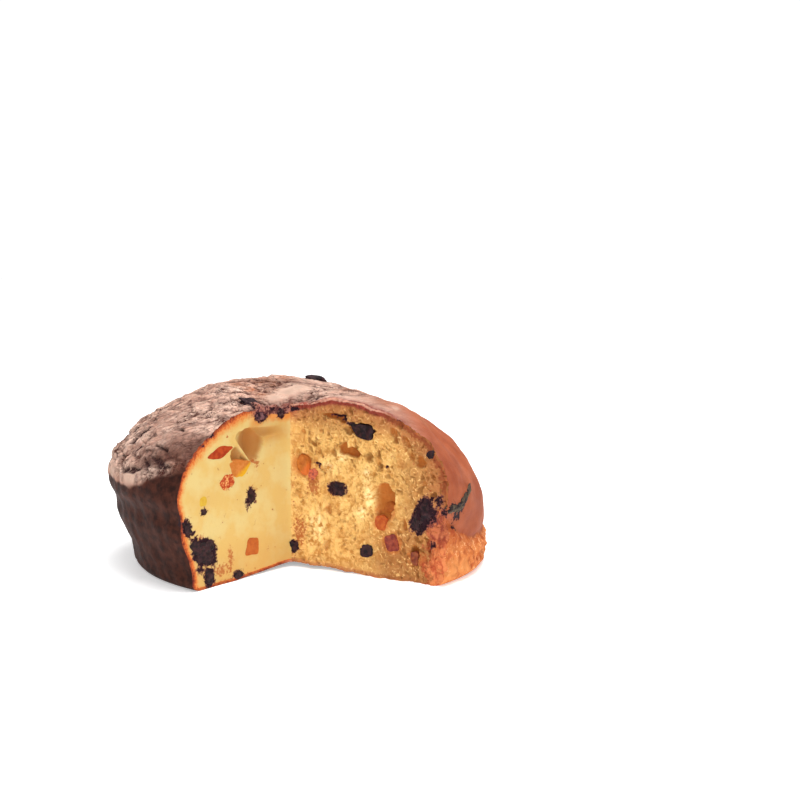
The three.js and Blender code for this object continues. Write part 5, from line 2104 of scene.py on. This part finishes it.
@dataclass
class Loaf:
    """The crust shell and the crumb inside it, both cut by the same sheet."""

    form: LoafForm
    crust: CrustPattern
    cut: WedgeCut
    crumb: CrumbPattern
    crust_thickness: float = 2.6
    # The numbers of the hidden surface's steps: round, and up the dome, the side and the sole.
    inner_steps: tuple[int, int, int, int] = (180, 44, 15, 4)
    shift: Array = field(default_factory=lambda: -np.array([*BOX_MIDDLE, 0.0]))

    def outer(self) -> Solid:
        """The whole loaf's fine outer surface: the smooth form, pushed out by the crust's relief.

        Returns:
            The closed solid.
        """
        form = self.form
        rings = form.rings(form.around, form.dome_steps, form.side_steps, form.sole_steps)
        azimuth = np.broadcast_to(np.arange(form.around) * 2 * math.pi / form.around, rings.shape[:2])
        rings = rings.copy()
        raised = slice(form.sole_steps, None)
        rings[raised] = self.pushed(rings[raised], azimuth[raised])
        crown = form.dome(np.array([0.0]), np.array([0.0]))
        crown = self.pushed(crown, np.array([0.0]))[0]
        return Solid.of_rings(rings, np.array([0, 0, form.hollow_depth]), crown, Skin.OUTER)

    def pushed(self, points: Array, azimuth: Array) -> Array:
        """Points of the smooth form with the crust's relief, along the line from the belly's middle."""
        depth = self.crust.relief(points, azimuth) * rise(points[..., 2], 0.5, 5)
        moved = points + outward_of(points) * depth[..., None]
        moved[..., 2] = np.maximum(moved[..., 2], 0)
        return moved

    def inner(self) -> Solid:
        """The surface between the crust and the crumb: the smooth form, drawn in by the crust's thickness.

        Returns:
            The closed solid.
        """
        rings = self.form.rings(*self.inner_steps)
        raised = self.crust.body(rings, azimuth_of(rings)) * rise(rings[..., 2], 0.5, 5)
        drawn = rings + outward_of(rings) * (np.minimum(raised, 1.5) - self.crust_thickness)[..., None]
        floor = self.form.hollow_height(np.hypot(drawn[..., 0], drawn[..., 1])) + self.crust_thickness * 0.8
        drawn[..., 2] = np.maximum(drawn[..., 2], floor)
        bottom = np.array([0, 0, self.form.hollow_depth + self.crust_thickness * 0.8])
        crown = self.form.dome(np.array(0.0), np.array(0.0)) - np.array([0, 0, self.crust_thickness])
        return Solid.of_rings(drawn, bottom, crown, Skin.HIDDEN)

    def wedge(self) -> Solid:
        """What was taken out: the cut's sheet with its relief, closed far in front of the loaf.

        Returns:
            The closed solid.
        """
        lengths = self.cut.columns()[::-1]
        levels = self.cut.levels()
        length, height = np.meshgrid(lengths, levels)
        place, _, inward = self.cut.place(length)
        relief = self.crumb.relief(length, height, self.cut.bottom)
        sheet = np.concatenate([place + inward * relief[..., None], height[..., None]], axis=-1)
        front = np.zeros((len(levels), 2, 3))
        front[:, 0, :2] = (-self.cut.reach, -2 * self.cut.reach)
        front[:, 1, :2] = (self.cut.reach, -2 * self.cut.reach)
        front[:, :, 2] = levels[:, None]
        middle = np.array([0.0, -self.cut.reach, 0.0])
        low, high = middle + [0, 0, levels[0]], middle + [0, 0, levels[-1]]
        return Solid.of_rings(np.concatenate([sheet, front], axis=1), low, high, Skin.CUT)

    def smooth_reach(self, ray: Array) -> Array:
        """How far the smooth form reaches along rays from the belly's middle.

        It is read from a table of azimuth against climb, between the four nearest values.

        Args:
            ray: ways from the belly's middle, of any length.

        Returns:
            The distance to the surface along each, in millimetres.
        """
        columns, climbs = 180, np.radians(np.linspace(-60, 90, 301))
        away = self.form.rings(columns, 90, 30, 4)[4:] - BELLY_CENTRE
        reach = np.linalg.norm(away, axis=-1)
        climb = np.arcsin(away[..., 2] / reach)
        table = np.array([np.interp(climbs, climb[:, k], reach[:, k]) for k in range(columns)])
        column = np.mod(azimuth_of(ray) / (2 * math.pi) * columns, columns)
        row = (np.arcsin(ray[:, 2] / np.linalg.norm(ray, axis=-1)) - climbs[0]) / (climbs[1] - climbs[0])
        row = np.clip(row, 0, len(climbs) - 1.001)
        c0, r0 = np.floor(column).astype(int), np.floor(row).astype(int)
        tc, tr = column - c0, row - r0
        c1 = (c0 + 1) % columns
        near = table[c0 % columns, r0] * (1 - tr) + table[c0 % columns, r0 + 1] * tr
        far = table[c1, r0] * (1 - tr) + table[c1, r0 + 1] * tr
        return near * (1 - tc) + far * tc

    def depth_below_crust(self, points: Array) -> Array:
        """How far places inside the loaf are below its outer surface, in millimetres.

        The distance from the belly's middle is compared with the smooth form's along the same line and with
        how far the body stands out there. The underside is measured straight down.

        Args:
            points: places in millimetres.

        Returns:
            The depth of each place.
        """
        ray = points - BELLY_CENTRE
        length = np.linalg.norm(ray, axis=-1)
        smooth = self.smooth_reach(ray)
        surface = BELLY_CENTRE + ray * (smooth / length)[:, None]
        outward = (smooth - length + self.crust.body(surface, azimuth_of(ray))) * 0.93
        under = points[:, 2] - self.form.hollow_height(np.hypot(points[:, 0], points[:, 1]))
        under = np.interp(under, [0, 1.6, 2.6, 6], [0, 1.6, 7, self.form.height])
        along = self.cut.length_of(points)
        under = under + 3.5 * rise(along, -2, 6)
        thick_bake = rise(points[:, 2], 54, 70) * rise(-along, 10, 30)
        outward = outward * (1 - 0.35 * thick_bake)
        return np.maximum(np.minimum(outward, under), 0)

    def chocolate_stain(self, points: Array) -> Array:
        """How much melted chocolate has stained the crumb: 1 beside a lump, fading out 2 mm from it.

        Args:
            points: places in millimetres, with x, y and z last.

        Returns:
            A number for each place.
        """
        length = self.cut.length_of(points)
        strongest = np.zeros(len(points))
        for lump in filter(Lump.fringed, CUT_LUMPS):
            a, b = turned_into(length - lump.along, points[:, 2] - lump.height, lump.turn)
            b = b / (lump.size[1] / 2)
            a = a / (lump.size[0] / 2) / (1 + lump.taper * np.clip(b, -1, 1))
            reach = (np.abs(a) ** lump.squareness + np.abs(b) ** lump.squareness) ** (1 / lump.squareness)
            beyond = (reach - 1) * min(lump.size[:2]) / 2
            strongest = np.maximum(strongest, 1 - rise(beyond, -1.8, 2.3))
        return np.maximum(strongest, 0.9 * blotted(length, points[:, 2], self.crumb.stain_places))

    def syrup(self, points: Array) -> Array:
        """How much a fruit has soaked the torn crumb: 1 beside it, fading out 3 mm from it.

        Args:
            points: places in millimetres, with x, y and z last.

        Returns:
            A number for each place.
        """
        length = self.cut.length_of(points)
        strongest = np.zeros(len(points))
        for lump in CUT_LUMPS:
            if lump.of is Make.CHOCOLATE or lump.trimmed:
                continue
            away = np.hypot(length - lump.along, points[:, 2] - lump.height) - sum(lump.size[:2]) / 4
            strongest = np.maximum(strongest, 1 - rise(away, -0.5, 3))
        return strongest

    def dress(self, piece: bpy.types.Object, outside: bool) -> None:
        """Stores what the materials read, and turns the piece's millimetres into the part's metres.

        Args:
            piece: the piece.
            outside: whether the piece is the crust.
        """
        points = places_of(piece)
        values = self.crumb.paints(self.cut.length_of(points), points[:, 2])
        values["depth"] = self.depth_below_crust(points)
        values["stain"] = self.chocolate_stain(points)
        values["syrup"] = self.syrup(points)
        values["crest"] = self.crust.crest(points)[0]
        if outside:
            values |= self.crust.paints(points)
        for name, numbers in values.items():
            paint(piece, name, numbers)
        set_places(piece, (points + self.shift) * METRES)
        crease_between_skins(piece)

    def build(self) -> list[bpy.types.Object]:
        """Makes the crust and the crumb.

        Returns:
            The two pieces, with their materials.
        """
        crust = self.outer().make("crust")
        crumb = self.inner().make("crumb")
        inner = self.inner().make("inner_tool")
        wedge = self.wedge().make("wedge_tool")
        for target, tool in ((crust, wedge), (crust, inner), (crumb, wedge)):
            cut_out(target, tool)
        for tool in (inner, wedge):
            bpy.data.objects.remove(tool)
        crust_skin, crumb_skin = CrustFinish().build(), CrumbFinish().build()
        for piece, outside in ((crust, True), (crumb, False)):
            self.dress(piece, outside)
            set_skins(piece, [crust_skin if skin is Skin.OUTER else crumb_skin for skin in Skin])
        return [crust, crumb]


@dataclass
class Studio:
    """The camera, the lights, the floor and a screen. The eye is in millimetres, the rest in metres."""

    eye: Size = (0.0, -1062.5, 284.7)
    pitch: float = math.radians(-10.541)
    yaw: float = math.radians(3.086)
    focal_pixels: float = 1991.0
    frame_pixels: float = 800.0
    sensor: float = 36.0
    aim: Size = (0.0, 0.0, 0.04)
    # Each soft light's name, place, side and power.
    softboxes: tuple[tuple[str, Size, float, float], ...] = (
        ("top_light", (0.1, -0.1, 1.1), 0.7, 14),
        ("front_light", (-0.15, -1.3, 0.6), 0.8, 5),
    )
    surround: float = 0.5
    floor_half: float = 3.0
    screen_radius: float = 1.3
    screen_height: float = 1.6
    screen_sides: int = 96

    def camera(self) -> None:
        """Places the camera where the photograph was taken from."""
        data = bpy.data.cameras.new("camera")
        data.sensor_width = self.sensor
        data.lens = self.focal_pixels / self.frame_pixels * self.sensor
        data.clip_start, data.clip_end = 0.05, 20
        made = bpy.data.objects.new("camera", data)
        spot = (np.array(self.eye) - np.array([*BOX_MIDDLE, 0])) * METRES
        turn = Matrix.Rotation(-self.yaw, 4, "Z") @ Matrix.Rotation(math.pi / 2 + self.pitch, 4, "X")
        made.matrix_world = Matrix.Translation(spot) @ turn
        bpy.context.scene.collection.objects.link(made)
        bpy.context.scene.camera = made

    def softbox(self, name: str, spot: Size, side: float, power: float) -> None:
        """Hangs one square soft light, aimed at the loaf.

        Args:
            name: the light's name.
            spot: its place in metres.
            side: the length of its side in metres.
            power: its power in watts.
        """
        data = bpy.data.lights.new(name, "AREA")
        data.shape = "SQUARE"
        data.size = side
        data.energy = power
        made = bpy.data.objects.new(name, data)
        way = Vector(self.aim) - Vector(spot)
        made.rotation_euler = way.to_track_quat("-Z", "Y").to_euler()
        made.location = spot
        bpy.context.scene.collection.objects.link(made)

    def lights(self) -> None:
        """Hangs the studio's soft lights and sets the pale surround."""
        for light in self.softboxes:
            self.softbox(*light)
        world = bpy.data.worlds.new("surround")
        world.use_nodes = True
        background = world.node_tree.nodes["Background"]
        background.inputs[0].default_value = (1, 1, 1, 1)
        background.inputs[1].default_value = self.surround
        bpy.context.scene.world = world
        bpy.context.scene.view_settings.view_transform = "Standard"

    def staged(self, name: str, corners: Array, faces: Array, surface: dict) -> bpy.types.Object:
        """Makes a thing of the studio, which isn't part of the loaf.

        Args:
            name: the thing's name.
            corners: its corners in metres.
            faces: the numbers of each face's corners.
            surface: its surface's inputs by name.

        Returns:
            The thing, staged.
        """
        mesh = bpy.data.meshes.new(name)
        mesh.from_pydata(corners.tolist(), [], faces.tolist())
        mesh.materials.append(Shader(name).finish(surface))
        made = bpy.data.objects.new(name, mesh)
        bpy.context.scene.collection.objects.link(made)
        return made

    def floor(self) -> None:
        """Lays the plain pale floor."""
        corners = self.floor_half * np.array([[-1.0, -1, 0], [1, -1, 0], [1, 1, 0], [-1, 1, 0]])
        white = (0.95, 0.95, 0.95, 1)
        glow = {"Base Color": white, "Emission Color": white, "Emission Strength": 0.4, "Roughness": 0.5}
        self.staged("floor", corners, np.array([[0, 1, 2, 3]]), glow)

    def backdrop(self) -> None:
        """Stands a white screen round the scene, an open ring on the floor that only the camera sees."""
        sides = self.screen_sides
        turn = np.arange(sides) * 2 * math.pi / sides
        foot = np.stack([np.cos(turn), np.sin(turn), np.zeros(sides)], axis=-1) * self.screen_radius
        corners = np.concatenate([foot, foot + np.array([0, 0, self.screen_height])])
        first = np.arange(sides)
        after = (first + 1) % sides
        faces = np.stack([first, after, sides + after, sides + first], axis=-1)
        glow = {"Base Color": (0, 0, 0, 1), "Emission Color": (1, 1, 1, 1), "Emission Strength": 1.0}
        screen = self.staged("screen", corners, faces, glow)
        screen.visible_diffuse = False
        screen.visible_glossy = False
        screen.visible_shadow = False

    def set_up(self) -> None:
        """Sets up the whole studio."""
        self.camera()
        self.lights()
        self.floor()
        self.backdrop()


def hand_over(piece: bpy.types.Object, node: str) -> None:
    """Gives a finished piece to the part: attaches it to its body, hides the node that it stands for, and
    logs its triangles.
    """
    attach(piece, BODY)
    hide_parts(node)
    log.info("%s: %d triangles", piece.name, triangle_count(piece))


def main() -> None:
    """Builds the loaf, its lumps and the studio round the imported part, and reports each piece."""
    logging.basicConfig(level=logging.INFO, format="%(name)s: %(message)s")
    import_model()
    Studio().set_up()
    form, crust, cut, crumb = LoafForm(), CrustPattern(), WedgeCut(), CrumbPattern()
    loaf = Loaf(form, crust, cut, crumb)
    for piece in loaf.build():
        hand_over(piece, "loaf")
    maker = LumpMaker(form, crust, cut, crumb)
    plain_skin = PLAIN_CHOCOLATE.build()
    own_skins = {node: finish.build() for node, finish in OWN_FINISHES.items()}
    for lump in CUT_LUMPS + CRUST_LUMPS + STREAK_BEADS:
        solid = maker.seated(lump)
        name = f"{lump.node}_fine" if lump not in STREAK_BEADS else f"{lump.node}_bead_{lump.seed}"
        piece = solid.make(name, METRES, loaf.shift)
        maker.mark(piece, lump, solid.corners)
        set_skins(piece, [own_skins.get(lump.node, plain_skin)])
        crease_between_skins(piece)
        hand_over(piece, lump.node)


if __name__ == "__main__":
    main()
